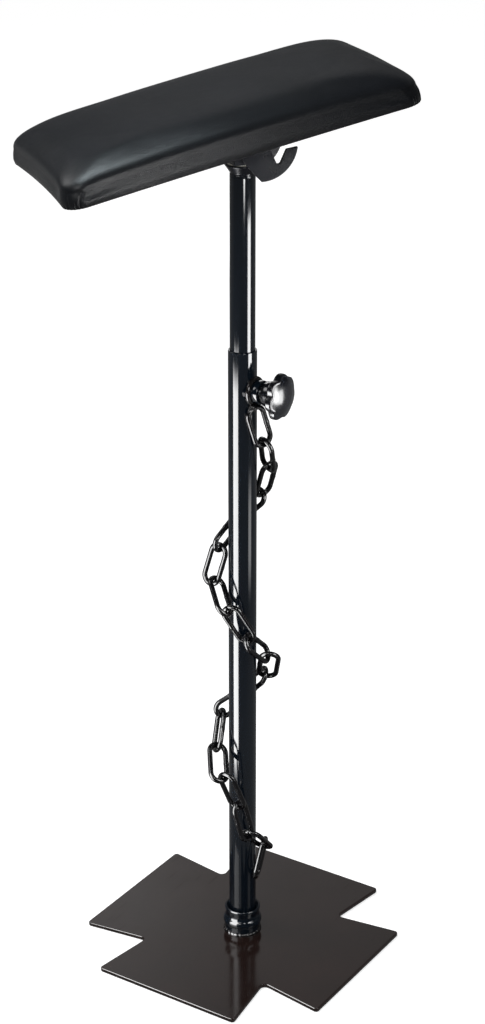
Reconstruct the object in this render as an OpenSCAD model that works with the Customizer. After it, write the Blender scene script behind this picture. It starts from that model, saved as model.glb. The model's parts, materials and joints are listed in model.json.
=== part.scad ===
// Tattoo arm rest stand: a cross-shaped steel base, a telescopic post with a
// star knob, a steel chain hung round the post, and a padded rest that turns
// and tilts on a clamped head. The origin is under the base, on the post's
// axis, +Z is up, and the arms of the base run along X and Y.

/* [Base plate] */
// Width of the cross from tip to tip
base_span = 328; // [280:1:420]
// Width of an arm at its tip
arm_tip_w = 190; // [170:1:210]
// Width of an arm where it meets its neighbours
arm_root_w = 167; // [130:1:178]
// Thickness of the steel plate
plate_t = 5; // [3:0.5:10]
// Radius of the corners at the tips
tip_r = 4; // [1:0.5:12]
// Radius in the inner notches
notch_r = 6; // [2:0.5:20]

/* [Foot socket] */
// Height of the socket above the plate
socket_h = 33; // [20:1:60]
// Wall of the socket round the post
socket_wall = 3; // [2:0.5:6]
// Outward flare of the rim
socket_flare = 2.2; // [1:0.1:8]
// Thickness of the floor under the post
socket_floor = 3; // [2:0.5:6]
// Outward swelling of the socket's foot
socket_bulge = 3.9; // [1:0.1:6]
// Width of the weld bead round the socket
foot_bead_w = 2.5; // [2:0.5:6]

/* [Post] */
// Outside diameter of the fixed outer tube
outer_d = 32; // [30:0.5:35]
// Length of the outer tube
outer_len = 737; // [700:1:800]
// Outside diameter of the sliding inner tube
inner_d = 28; // [26:0.5:28]
// Wall of the inner tube
inner_wall = 1.5; // [1:0.1:2]
// Length of the inner tube
inner_len = 560; // [480:1:640]
// Height that the inner tube stands out at rest
mast_out = 193; // [120:1:240]
// Gap between the inner and the outer tube, on the radius
slide_gap = 0.08; // [0.05:0.01:0.1]

/* [Height clamp] */
// Drop from the top of the outer tube to the clamp screw
clamp_drop = 45; // [35:1:60]
// Diameter of the welded boss
boss_d = 27; // [24:1:28]
// Length of the boss outside the tube
boss_len = 11; // [8:1:12]
// Diameter of the clamp screw
screw_d = 10; // [8:1:10]
// Gap between the boss and the hub of the knob
hub_gap = 4; // [3.5:0.5:6]
// Diameter of the star over its lobes
star_d = 52; // [48:1:60]
// Number of lobes
lobes = 7; // [5:1:9]
// Thickness of the star
star_t = 14; // [12:1:20]
// Diameter of the hub behind the star
hub_d = 31; // [26:1:34]
// Length of the hub
hub_len = 13; // [10:1:16]

/* [Chain] */
// Wire diameter of the links
wire_d = 6; // [5:0.1:6.2]
// Outside length of a link
link_len = 54; // [53:0.1:56]
// Outside width of a link
link_w = 26; // [25:0.1:27]

/* [Head] */
// Turn of the head about the post at rest
head_yaw = 53; // [0:1:359]
// Height of the collar
collar_h = 11.5; // [10:0.5:16]
// Diameter of the swivel bolt and of the tilt bolt
bolt_d = 10; // [8:1:10]
// Sideways place of the tilt bolt, from the post's axis
pivot_off = 14; // [8:0.5:16]
// Height of the tilt bolt over the inner tube
pivot_rise = 36.5; // [36:0.5:48]
// Thickness of a yoke ear
ear_t = 6; // [4:0.5:8]
// Distance between the outer faces of the ears
ear_span = 37; // [34:0.5:37]
// Radius of the half-moon cheeks
moon_r = 39.2; // [34:0.1:44]
// Thickness of the bracket's sheet
cheek_t = 4; // [3:0.5:5]

/* [Arm pad] */
// Length of the pad
pad_l = 389; // [340:1:460]
// Width of the pad
pad_w = 225; // [190:1:260]
// Height of the pad from its underside to its crown
pad_t = 48; // [44:1:70]
// Tilt of the pad at rest
pad_tilt = 12; // [0:1:20]
// Place of the pad's middle along its length, from the tilt bolt
pad_shift = -41.5; // [-60:0.5:-10]
// Corner radius of the pad
pad_corner_r = 14; // [12:1:30]
// Thickness of the plywood board
board_t = 10; // [8:1:15]
// Thickness of the leather cover
cover_t = 1.2; // [1:0.1:1.6]

/* [Hidden] */
$fn = 64;
fine_fn = 96;
wire_fn = 32;
cut = 1;
run_gap = 0.05;
press_gap = 0.02;
body_gap = 0.3;

// Heading and fall of every link of the chain, in degrees, from the top down
link_heading = [66, 114, 153, 202, 260, 223, 322, 34, 77, 132, 167, 228, 292, 307, 37, 18, 85, 259];
link_fall = [72, 60, 67, 44, 33, 74, 36, 59, 43, 58, 45, 28, 50, 33, 69, 75, 47, 71];

outer_r = outer_d / 2;
inner_r = inner_d / 2;
bore_r = inner_r + slide_gap;
outer_z0 = plate_t + socket_floor;
outer_top = outer_z0 + outer_len;
tube_top = outer_top + mast_out;
clamp_z = outer_top - clamp_drop;
boss_face = outer_r + boss_len;
hub_face = boss_face + hub_gap;
star_face = hub_face + hub_len;

// Foot socket
waist_r = outer_r + press_gap + socket_wall;
socket_base_flare = 1.5;
socket_base_r = waist_r + socket_base_flare;
rim_r = waist_r + socket_flare;
rim_lip = 3;
waist_share = 0.68;
bulge_round = 6;
bulge_z_share = 0.42;
bulge_from_deg = -55;
bulge_to_deg = 55;

// Clamp
tip_rad = 3.5;
tip_len = 3;
nose_r = 2;
nose_len = 2;
tip_face = inner_r + body_gap;
screw_start = tip_face + tip_len + body_gap;
screw_in_knob = 12;
lobe_r = 9;
lobe_reach = 3.2;
star_core_r = star_d / 2 - lobe_reach;
star_dome_r = 50;
star_turn_deg = 73;
hub_taper = 1.5;
weld_r = 3;

// Chain
wire_gap = 0.3;
bow_r = (link_w - wire_d) / 2;
link_straight = link_len - link_w;
link_step = 2 * bow_r - wire_d - wire_gap;
chain_air = 1.25;
blob_r = 5;
chain_deg = -20.2;
chain_r = outer_r + wire_d / 2 + chain_air;
chain_drop = 1.9;
chain_reach = boss_d / 2 + wire_d / 2 + chain_drop;
chain_z = clamp_z - sqrt(pow(chain_reach, 2) - pow(chain_r * sin(chain_deg), 2));
chain_start = [chain_r * cos(chain_deg), chain_r * sin(chain_deg), chain_z];
foot_air = 30;
chain_floor = plate_t + socket_h + foot_air;
hung_links = [for (i = [0:len(link_heading) - 1]) if (link_low(i) > chain_floor) i];
link_count = len(hung_links);

// Inner tube ends
end_plug_stem = 16;
end_plug_head = 3;
end_plug_wall = 2;
top_stem = 38;
top_flange = 2;

// Pad
pad_under = 21;
mount_t = 3;
mount_l = 150;
mount_w = 90;
mount_r = 8;
screw_shank_r = 2;
screw_head_r = 4;
screw_head_t = 1.6;
screw_taper = 1.2;
screw_len = 13;
screw_dx = 62;
screw_dy = 36;
hem_w = 24;
pad_drawn = 3;
dust_t = 1;
pad_side = 22;
outer_hem = 2 * cover_t;
inner_hem = 3 * cover_t;
crown_steps = 6;
ring_corner_steps = 4;
ring_side_steps = 6;
shoulder_share = 0.19;
flat_share = 0.33;
shoulder_h_share = 0.86;
flat_h_share = 0.96;
corner_max_share = 0.9;

// Head
bolt_r = bolt_d / 2;
collar_neck = 2;
collar_lip = 1.5;
collar_side_gap = 0.8;
collar_top = top_flange + collar_h;
washer_t = 1.5;
thrust_r = 17;
yoke_z = collar_top + washer_t + body_gap;
yoke_base_t = 5;
yoke_half_x = 16;
ear_r = 12;
ear_from_deg = -20;
ear_to_deg = 160;
bolt_head_r = 8.5;
bolt_head_t = 6;
tilt_head_r = 8;
tilt_head_t = 3.5;
tilt_head_taper = 1.5;
tilt_washer_r = 10.5;
nut_t = 8;
cheek_in = ear_span / 2 + body_gap + washer_t;
cheek_out = cheek_in + cheek_t;
collar_r = cheek_in - collar_side_gap;
web_top = pad_under - mount_t;
web_z = web_top - cheek_t;
web_x0 = -32;
web_x1 = 14;
moon_from_deg = -104;
moon_to_deg = -19;
knee_x = -23;
knee_z = -15;
horn_drop = 1;
horn_in = 12.7;
slot_x = 13.3;
slot_r = 3;
slot_floor = 17.6;
slot_z = slot_floor - moon_r;
slot_from_deg = -36;
slot_to_deg = -168;
hub_side = 2.2;
hub_x = bolt_r + hub_side;
hub_z = -8.6;

function link_name(i) = str("chain_link_", i < 9 ? "0" : "", i + 1);
function unit(v) = v / norm(v);
function turn2(p, a) = [p.x * cos(a) - p.y * sin(a), p.x * sin(a) + p.y * cos(a)];
function arc(c, r, a0, a1, n) =
    [for (i = [0:n]) let(a = a0 + (a1 - a0) * i / n) c + r * [cos(a), sin(a)]];

// Points of the round corner at p, between its neighbours a and b
function round_corner(a, p, b, r, n = 8) =
    let(u = unit(a - p), v = unit(b - p), half = acos(u * v) / 2, t = r / tan(half),
        c = p + unit(u + v) * r / sin(half), s = p + u * t - c, e = p + v * t - c,
        a0 = atan2(s.y, s.x), swing = atan2(cross(s, e), s * e))
    [for (i = [0:n]) c + r * [cos(a0 + swing * i / n), sin(a0 + swing * i / n)]];

// Rounds every corner of a closed outline by its own radius
function rounded(pts, radii) = let(m = len(pts))
    [for (i = [0:m - 1]) each round_corner(pts[(i + m - 1) % m], pts[i], pts[(i + 1) % m], radii[i])];

module head_frame() {
    translate([0, 0, tube_top]) rotate([0, 0, head_yaw]) children();
}

module pad_frame() {
    head_frame() translate([pivot_off, 0, pivot_rise]) rotate([0, -pad_tilt, 0]) children();
}

// Base: one steel plate cut as a cross whose arms widen to their tips
module base_plate() {
    e = base_span / 2;
    a = arm_tip_w / 2;
    n = arm_root_w / 2;
    arm = [[e, -a], [e, a], [n, n]];
    pts = [for (q = [0:3]) for (p = arm) turn2(p, 90 * q)];
    radii = [for (q = [0:3]) each [tip_r, tip_r, notch_r]];
    color("#181417") linear_extrude(plate_t) polygon(rounded(pts, radii));
}

// Foot: a turned socket with a flared rim that the post stands in
module foot_socket() {
    h = socket_h;
    w = waist_r;
    m = rim_r;
    s = outer_r + press_gap;
    c = [w + socket_bulge - bulge_round, h * bulge_z_share];
    bulge = arc(c, bulge_round, bulge_from_deg, bulge_to_deg, 10);
    color("#1a1a1c") translate([0, 0, plate_t]) rotate_extrude($fn = fine_fn)
        polygon(concat([[0, 0], [socket_base_r, 0]], bulge,
                       [[w, h * waist_share], [m, h - rim_lip], [m, h - rim_lip / 2], [m - rim_lip / 2, h],
                        [s, h - rim_lip], [s, socket_floor], [0, socket_floor]]));
}

module foot_weld() {
    pts = concat([[socket_base_r, 0]], arc([socket_base_r, 0], foot_bead_w, 0, 90, 8));
    color("#3a3838") translate([0, 0, plate_t]) rotate_extrude($fn = fine_fn) polygon(pts);
}

// Outer tube, with the hole that the clamp tip and screw pass through
module outer_tube() {
    c = (outer_r - bore_r) / 2;
    color("#141416") difference() {
        rotate_extrude($fn = fine_fn)
            polygon([[bore_r, outer_z0], [outer_r, outer_z0], [outer_r, outer_top - c],
                     [outer_r - c, outer_top], [bore_r, outer_top]]);
        translate([0, 0, clamp_z]) rotate([0, 90, 0])
            cylinder(r = screw_d / 2 + run_gap, h = outer_r + cut);
    }
}

// Threaded boss welded on the tube
module knob_boss() {
    color("#1b1b1d") difference() {
        translate([0, 0, clamp_z]) rotate([0, 90, 0]) cylinder(d = boss_d, h = boss_face);
        cylinder(r = outer_r, h = outer_top + cut, $fn = fine_fn);
        translate([0, 0, clamp_z]) rotate([0, 90, 0])
            cylinder(r = screw_d / 2 + run_gap, h = boss_face + cut);
    }
}

// Weld bead round the boss, against the tube
module boss_weld() {
    x = sqrt(outer_r * outer_r - boss_d * boss_d / 4);
    color("#2e2c2c") difference() {
        translate([x, 0, clamp_z]) rotate([0, 90, 0]) rotate_extrude()
            translate([boss_d / 2, outer_r - x]) circle(r = weld_r);
        cylinder(r = outer_r, h = outer_top + cut, $fn = fine_fn);
        translate([0, 0, clamp_z]) rotate([0, 90, 0]) cylinder(d = boss_d, h = boss_face + cut);
        chain_link(0);
    }
}

// Height clamp: a brass tip that presses on the inner tube, its screw and the knob
module clamp_tip() {
    color("#b08d4a") translate([tip_face, 0, clamp_z]) rotate([0, 90, 0]) difference() {
        cylinder(r = tip_rad, h = tip_len);
        translate([0, 0, tip_len - nose_len]) cylinder(r = nose_r + run_gap, h = nose_len + cut);
    }
}

module clamp_screw() {
    nose_x = tip_face + tip_len - nose_len + body_gap;
    color("#8c8f94") translate([0, 0, clamp_z]) rotate([0, 90, 0]) {
        translate([0, 0, nose_x]) cylinder(r = nose_r, h = screw_start - nose_x);
        translate([0, 0, screw_start]) cylinder(d = screw_d, h = hub_face + screw_in_knob - screw_start);
    }
}

module star_outline() {
    circle(r = star_core_r);
    for (i = [0:lobes - 1]) rotate(star_turn_deg + i * 360 / lobes)
        translate([star_d / 2 - lobe_r, 0]) circle(r = lobe_r);
}

module star_knob() {
    color("#0f0f11") translate([0, 0, clamp_z]) rotate([0, 90, 0]) difference() {
        union() {
            translate([0, 0, hub_face]) cylinder(r1 = hub_d / 2 - hub_taper, r2 = hub_d / 2, h = hub_len);
            intersection() {
                translate([0, 0, star_face]) linear_extrude(star_t) star_outline();
                translate([0, 0, star_face + star_t - star_dome_r]) sphere(r = star_dome_r, $fn = fine_fn);
            }
        }
        translate([0, 0, hub_face - cut])
            cylinder(r = screw_d / 2 + press_gap, h = screw_in_knob + cut + body_gap);
    }
}

// Chain: each link lies in its own plane, square to its neighbour's
function link_dir(i) = let(f = link_fall[i], h = link_heading[i])
    [cos(f) * cos(h), cos(f) * sin(h), -sin(f)];
function link_normal(i) = unit(cross(link_dir(i), i == 0 ? [0, 0, 1] : link_normal(i - 1)));
function pull_dir(i) = let(d = link_dir(i + 1), n = link_normal(i)) unit(d - (d * n) * n);
function link_top(i) = i == 0 ? chain_start + bow_r * link_dir(0)
    : link_top(i - 1) + link_straight * link_dir(i - 1) + link_step * pull_dir(i - 1);

// Lowest height that a link reaches: the far end of its lower bow
function link_low(i) = let(d = link_dir(i), w = cross(d, link_normal(i)))
    link_top(i).z + link_straight * d.z - bow_r * norm([d.z, w.z]) - wire_d / 2;

module link_bow() {
    rotate_extrude(angle = 180) translate([bow_r, 0]) circle(d = wire_d, $fn = wire_fn);
}

module link_shape() {
    translate([0, link_straight, 0]) link_bow();
    rotate([0, 0, 180]) link_bow();
    for (s = [-1, 1]) translate([s * bow_r, 0, 0]) rotate([-90, 0, 0])
        cylinder(d = wire_d, h = link_straight, $fn = wire_fn);
}

module chain_link(i) {
    d = link_dir(i);
    n = link_normal(i);
    w = cross(d, n);
    o = link_top(i);
    place = [[w.x, d.x, n.x, o.x], [w.y, d.y, n.y, o.y], [w.z, d.z, n.z, o.z], [0, 0, 0, 1]];
    color("#17171a") multmatrix(place) link_shape();
}

// Weld that holds the top link to the tube
module chain_weld() {
    color("#2e2c2c") difference() {
        translate(chain_start) rotate([0, 0, chain_deg]) translate([-wire_d / 4, 0, 0]) sphere(r = blob_r);
        cylinder(r = outer_r, h = outer_top + cut, $fn = fine_fn);
        translate([0, 0, clamp_z]) rotate([0, 90, 0])
            cylinder(d = boss_d + weld_r * 2, h = boss_face + cut);
        chain_link(0);
    }
}

// Inner tube and the plugs in its ends
module inner_tube() {
    color("#141416") translate([0, 0, tube_top - inner_len]) difference() {
        cylinder(d = inner_d, h = inner_len, $fn = fine_fn);
        translate([0, 0, -cut]) cylinder(r = inner_r - inner_wall, h = inner_len + 2 * cut, $fn = fine_fn);
    }
}

module inner_end_plug() {
    r = inner_r - inner_wall - press_gap;
    color("#202022") translate([0, 0, tube_top - inner_len]) difference() {
        union() {
            cylinder(r = r, h = end_plug_stem);
            translate([0, 0, -end_plug_head]) cylinder(r = inner_r - press_gap, h = end_plug_head);
        }
        translate([0, 0, end_plug_head]) cylinder(r = r - end_plug_wall, h = end_plug_stem);
    }
}

module top_plug() {
    color("#1b1b1d") head_frame() difference() {
        union() {
            translate([0, 0, -top_stem]) cylinder(r = inner_r - inner_wall - press_gap, h = top_stem);
            cylinder(r = inner_r, h = top_flange, $fn = fine_fn);
        }
        translate([0, 0, -top_stem - cut])
            cylinder(r = bolt_r + run_gap, h = top_stem + top_flange + 2 * cut);
    }
}

// Head: flared collar, washer, swivel bolt and the yoke that turns on them
module head_collar() {
    z1 = top_flange + collar_neck;
    z2 = collar_top - collar_lip;
    b = bolt_r + run_gap;
    color("#1a1a1c") head_frame() rotate_extrude($fn = fine_fn)
        polygon([[b, top_flange], [inner_r, top_flange], [inner_r, z1], [collar_r, z2],
                 [collar_r, collar_top], [b, collar_top]]);
}

module thrust_washer() {
    color("#d8d6cf") head_frame() translate([0, 0, collar_top]) difference() {
        cylinder(r = thrust_r, h = washer_t);
        translate([0, 0, -cut]) cylinder(r = bolt_r + body_gap, h = washer_t + 2 * cut);
    }
}

module swivel_bolt() {
    z0 = -top_stem - body_gap;
    color("#8c8f94") head_frame() {
        translate([0, 0, z0 - bolt_head_t]) cylinder(r = bolt_head_r, h = bolt_head_t, $fn = 6);
        translate([0, 0, z0]) cylinder(r = bolt_r, h = yoke_z + yoke_base_t - z0);
    }
}

module yoke_ear() {
    foot = [[-yoke_half_x, yoke_z], [yoke_half_x, yoke_z]];
    top = arc([pivot_off, pivot_rise], ear_r, ear_from_deg, ear_to_deg, 20);
    rotate([90, 0, 0]) linear_extrude(ear_t)
        polygon(concat(foot, top, [[-yoke_half_x, yoke_z + yoke_base_t]]));
}

module yoke() {
    hx = yoke_half_x;
    hy = ear_span / 2;
    color("#17171a") head_frame() difference() {
        union() {
            translate([0, 0, yoke_z]) linear_extrude(yoke_base_t)
                polygon([[-hx, -hy], [hx, -hy], [hx, hy], [-hx, hy]]);
            translate([0, hy, 0]) yoke_ear();
            translate([0, -hy + ear_t, 0]) yoke_ear();
        }
        translate([0, 0, yoke_z - cut]) cylinder(r = bolt_r + press_gap, h = yoke_base_t + 2 * cut);
        translate([pivot_off, hy + cut, pivot_rise]) rotate([90, 0, 0])
            cylinder(r = bolt_r + run_gap, h = ear_span + 2 * cut);
    }
}

// Tilt bracket: a folded channel whose cheeks end in half-moons with an open slot
module cheek_outline() {
    end = arc([0, 0], moon_r, moon_from_deg, moon_to_deg, 28);
    tip = end[len(end) - 1];
    root = [tip.x - horn_in, tip.y + horn_drop];
    slot = arc([slot_x, slot_z], slot_r, slot_from_deg, slot_to_deg, 12);
    side = [[hub_x, hub_z], [hub_x, 0], [web_x1, web_top]];
    polygon(concat([[web_x0, web_top], [knee_x, knee_z]], end, [root], slot, side));
}

module tilt_bracket() {
    color("#1a1b20") pad_frame() difference() {
        union() {
            for (y = [cheek_out, -cheek_in]) translate([0, y, 0]) rotate([90, 0, 0])
                linear_extrude(cheek_t) cheek_outline();
            translate([web_x0, -cheek_out, web_z]) cube([web_x1 - web_x0, 2 * cheek_out, cheek_t]);
        }
        translate([0, cheek_out + cut, 0]) rotate([90, 0, 0])
            cylinder(r = bolt_r + press_gap, h = 2 * cheek_out + 2 * cut);
    }
}

module bracket_weld() {
    color("#2e2c2c") pad_frame() for (x = [web_x0, web_x1]) difference() {
        translate([x, -cheek_out, web_z + cheek_t]) rotate([-90, 0, 0])
            cylinder(r = weld_r, h = 2 * cheek_out);
        translate([web_x0, -cheek_out - cut, web_z - cut])
            cube([web_x1 - web_x0, 2 * cheek_out + 2 * cut, cheek_t + 2 * cut]);
        translate([x - weld_r - cut, -cheek_out - cut, web_z + cheek_t])
            cube([2 * weld_r + 2 * cut, 2 * cheek_out + 2 * cut, weld_r + cut]);
    }
}

module tilt_bolt() {
    color("#26262a") pad_frame() rotate([90, 0, 0]) {
        translate([0, 0, cheek_out])
            cylinder(r1 = tilt_head_r, r2 = tilt_head_r - tilt_head_taper, h = tilt_head_t);
        translate([0, 0, -cheek_out - nut_t]) cylinder(r = bolt_r, h = 2 * cheek_out + nut_t);
    }
}

module tilt_washers() {
    y = cheek_in - washer_t / 2;
    color("#d8d6cf") pad_frame() for (s = [-1, 1]) translate([0, s * y, 0]) rotate([90, 0, 0])
        translate([0, 0, -washer_t / 2]) difference() {
            cylinder(r = tilt_washer_r, h = washer_t);
            translate([0, 0, -cut]) cylinder(r = bolt_r + press_gap, h = washer_t + 2 * cut);
        }
}

module tilt_nut() {
    color("#8c8f94") pad_frame() translate([0, cheek_out + nut_t, 0]) rotate([90, 0, 0]) difference() {
        cylinder(r = bolt_head_r, h = nut_t, $fn = 6);
        translate([0, 0, -cut]) cylinder(r = bolt_r + press_gap, h = nut_t + 2 * cut);
    }
}

// Plate under the pad and the screws that hold the board to it
module plate_corners() {
    for (sx = [-1, 1]) for (sy = [-1, 1])
        translate([pad_shift + sx * screw_dx, sy * screw_dy, 0]) children();
}

module mount_plate() {
    x = mount_l / 2;
    y = mount_w / 2;
    pts = [[-x, -y], [x, -y], [x, y], [-x, y]];
    color("#1a1a1c") pad_frame() difference() {
        translate([pad_shift, 0, web_top]) linear_extrude(mount_t)
            polygon(rounded(pts, [for (i = [0:3]) mount_r]));
        translate([0, 0, web_top - cut]) plate_corners()
            cylinder(r = screw_shank_r + body_gap, h = mount_t + 2 * cut);
    }
}

module pad_screws() {
    color("#8c8f94") pad_frame() translate([0, 0, web_top]) plate_corners() {
        translate([0, 0, -screw_head_t])
            cylinder(r1 = screw_head_r - screw_taper, r2 = screw_head_r, h = screw_head_t);
        cylinder(r = screw_shank_r, h = screw_len);
    }
}

// Outline of the pad drawn in by d, with its sides pulled in between the corners
function pad_ring(d, z) =
    let(x = pad_l / 2 - d, y = pad_w / 2 - d, r = min(pad_corner_r, y * corner_max_share),
        base = [[-x, -y], [x, -y], [x, y], [-x, y]], q = ring_corner_steps,
        rounds = [for (i = [0:3]) round_corner(base[(i + 3) % 4], base[i], base[(i + 1) % 4], r, q)])
    [for (i = [0:3]) each concat(
        [for (v = rounds[i]) [v.x, v.y, z]],
        drawn_side(rounds[i][q], rounds[(i + 1) % 4][0], z))];

// Points between a and b, moved inwards by up to pad_drawn at the middle
function drawn_side(a, b, z) =
    let(m = ring_side_steps, inward = unit([a.y - b.y, b.x - a.x]))
    [for (k = [1:m - 1]) let(s = k / m, v = a + (b - a) * s + inward * pad_drawn * 4 * s * (1 - s))
        [v.x, v.y, z]];

// Rings of the crowned form, from the foot of the side to the crown's edge
function crown_rings(d, z0, top) = let(h = top - pad_side, n = crown_steps)
    concat([pad_ring(d, z0), pad_ring(d - cover_t, (z0 + pad_side) / 2), pad_ring(d, pad_side)],
        [for (i = [1:n]) let(a = 90 * i / n)
            pad_ring(d + pad_w * shoulder_share * (1 - cos(a)), pad_side + h * shoulder_h_share * sin(a))],
        [pad_ring(d + pad_w * flat_share, pad_side + h * flat_h_share)]);

function ring_faces(a, b, n) = [for (k = [0:n - 1]) each
    [[a + k, a + (k + 1) % n, b + (k + 1) % n], [a + k, b + (k + 1) % n, b + k]]];

module crown_solid(d, z0, top) {
    rings = crown_rings(d, z0, top);
    n = len(rings[0]);
    m = len(rings);
    pts = concat([for (r = rings) each r], [[0, 0, top], [0, 0, z0]]);
    faces = concat([for (i = [0:m - 2]) each ring_faces(i * n, (i + 1) * n, n)],
        [for (k = [0:n - 1]) [(m - 1) * n + k, (m - 1) * n + (k + 1) % n, m * n]],
        [for (k = [0:n - 1]) [(k + 1) % n, k, m * n + 1]]);
    polyhedron(points = pts, faces = [for (f = faces) [f[2], f[1], f[0]]]);
}

module pad_board() {
    e = inner_hem + pad_drawn + body_gap;
    x = pad_l / 2 - e;
    y = pad_w / 2 - e;
    pts = [[-x, -y], [x, -y], [x, y], [-x, y]];
    color("#b08a5c") pad_frame() difference() {
        translate([pad_shift, 0, pad_under + cover_t]) linear_extrude(board_t)
            polygon(rounded(pts, [for (i = [0:3]) pad_corner_r]));
        translate([0, 0, web_top]) plate_corners()
            cylinder(r = screw_shank_r + press_gap, h = screw_len + body_gap);
    }
}

module pad_foam() {
    color("#e6dfc8") pad_frame() translate([pad_shift, 0, pad_under])
        crown_solid(cover_t + 2 * body_gap, cover_t + board_t, pad_t - cover_t - body_gap);
}

// Cover: a leather skin over the crown, turned in under the board
module pad_cover() {
    out = concat([pad_ring(hem_w, 0), pad_ring(outer_hem, 0)], crown_rings(0, outer_hem, pad_t));
    inn = concat([pad_ring(hem_w, cover_t - press_gap), pad_ring(inner_hem, cover_t - press_gap)],
                 crown_rings(cover_t, inner_hem, pad_t - cover_t));
    n = len(out[0]);
    m = len(out);
    pts = concat([for (r = out) each r], [[0, 0, pad_t]],
                 [for (r = inn) each r], [[0, 0, pad_t - cover_t]]);
    b = m * n + 1;
    faces = concat([for (i = [0:m - 2]) each ring_faces(i * n, (i + 1) * n, n)],
        [for (k = [0:n - 1]) [(m - 1) * n + k, (m - 1) * n + (k + 1) % n, m * n]],
        [for (i = [0:m - 2]) each ring_faces(b + (i + 1) * n, b + i * n, n)],
        [for (k = [0:n - 1]) [b + (m - 1) * n + (k + 1) % n, b + (m - 1) * n + k, b + m * n]],
        ring_faces(b, 0, n));
    color("#101013") pad_frame() translate([pad_shift, 0, pad_under])
        polyhedron(points = pts, faces = [for (f = faces) [f[2], f[1], f[0]]]);
}

module dust_cover() {
    x = pad_l / 2 - hem_w - pad_drawn - body_gap;
    y = pad_w / 2 - hem_w - pad_drawn - body_gap;
    pts = [[-x, -y], [x, -y], [x, y], [-x, y]];
    color("#1c1c1c") pad_frame() difference() {
        translate([pad_shift, 0, pad_under]) linear_extrude(dust_t)
            polygon(rounded(pts, [for (i = [0:3]) pad_corner_r]));
        translate([0, 0, pad_under - cut]) plate_corners()
            cylinder(r = screw_shank_r + body_gap, h = dust_t + 2 * cut);
    }
}

base_plate();
foot_socket();
foot_weld();
outer_tube();
knob_boss();
boss_weld();
chain_weld();
clamp_tip();
clamp_screw();
star_knob();
inner_tube();
inner_end_plug();
top_plug();
head_collar();
thrust_washer();
swivel_bolt();
yoke();
tilt_bracket();
bracket_weld();
tilt_bolt();
tilt_washers();
tilt_nut();
mount_plate();
pad_screws();
dust_cover();
pad_board();
pad_foam();
pad_cover();
for (i = [0:link_count - 1])
    chain_link(i);
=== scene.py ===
"""The looks of a tattoo arm rest stand, built round its packed construction.

Every length is in metres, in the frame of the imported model: the origin is under the
base on the post's axis, +Z is up, and the clamp knob points along +X.
"""
import json
import logging
import math
from dataclasses import dataclass, field
from enum import Enum
from typing import Sequence

import bmesh
import bpy
import numpy as np
from mathutils import Matrix, Vector


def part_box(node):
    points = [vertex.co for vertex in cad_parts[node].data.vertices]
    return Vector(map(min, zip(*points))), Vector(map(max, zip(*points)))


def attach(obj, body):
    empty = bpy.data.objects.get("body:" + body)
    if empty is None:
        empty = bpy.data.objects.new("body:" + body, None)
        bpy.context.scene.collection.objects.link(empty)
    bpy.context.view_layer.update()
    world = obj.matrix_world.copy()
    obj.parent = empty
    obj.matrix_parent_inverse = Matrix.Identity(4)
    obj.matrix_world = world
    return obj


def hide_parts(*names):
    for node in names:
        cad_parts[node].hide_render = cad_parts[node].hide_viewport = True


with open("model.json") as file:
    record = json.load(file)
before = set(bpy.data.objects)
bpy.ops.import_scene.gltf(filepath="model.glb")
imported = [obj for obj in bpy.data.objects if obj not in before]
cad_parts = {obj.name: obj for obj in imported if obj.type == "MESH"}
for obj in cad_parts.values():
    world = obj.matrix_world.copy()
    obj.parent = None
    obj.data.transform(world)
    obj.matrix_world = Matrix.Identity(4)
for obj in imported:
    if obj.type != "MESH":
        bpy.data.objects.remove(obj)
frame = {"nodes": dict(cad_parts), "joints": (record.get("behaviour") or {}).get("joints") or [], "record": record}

LOG = logging.getLogger("arm_rest")
MM = 0.001
TAU = 2.0 * math.pi
QUARTER = math.pi / 2
TINY = 1e-12
WHITE = (1.0, 1.0, 1.0, 1.0)

Points = np.ndarray
Tree = bpy.types.NodeTree
Node = bpy.types.Node
Socket = bpy.types.NodeSocket
Pair = tuple[float, float]
Triple = tuple[float, float, float]


class Body(str, Enum):
    """The rigid bodies that pieces ride on."""

    STAND = "stand"
    CHAIN_END = "chain_end"
    SHOE = "clamp_shoe"
    KNOB = "knob"
    MAST = "mast"
    HEAD = "head"
    PAD = "pad"


class Slot(str, Enum):
    """The record's material slots."""

    PLATE = "plate_enamel"
    POST = "post_enamel"
    HEAD = "head_enamel"
    CHAIN = "chain_enamel"
    WELD = "weld_bead"
    ZINC = "zinc_steel"
    BRASS = "brass"
    KNOB = "knob_plastic"
    PLUG = "plug_plastic"
    WASHER = "washer_plastic"
    DUST = "dust_cloth"
    PLY = "plywood"
    FOAM = "foam"
    LEATHER = "pad_leather"


# Colour and node helpers


def linear(hex_code: str) -> tuple[float, float, float, float]:
    """Turns an sRGB hex colour into linear light, by the sRGB standard's own curve.

    Args:
        hex_code: six hex digits after a hash sign.

    Returns:
        Linear red, green, blue and an alpha of 1.
    """
    values = [int(hex_code[i : i + 2], 16) / 255 for i in (1, 3, 5)]
    return (*[v / 12.92 if v <= 0.04045 else ((v + 0.055) / 1.055) ** 2.4 for v in values], 1.0)


def cleared(owner: bpy.types.Material | bpy.types.World) -> Tree:
    """Empties the node tree of a material or a world.

    Args:
        owner: the material or the world.

    Returns:
        Its empty node tree.
    """
    owner.use_nodes = True
    owner.node_tree.nodes.clear()
    return owner.node_tree


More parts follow.
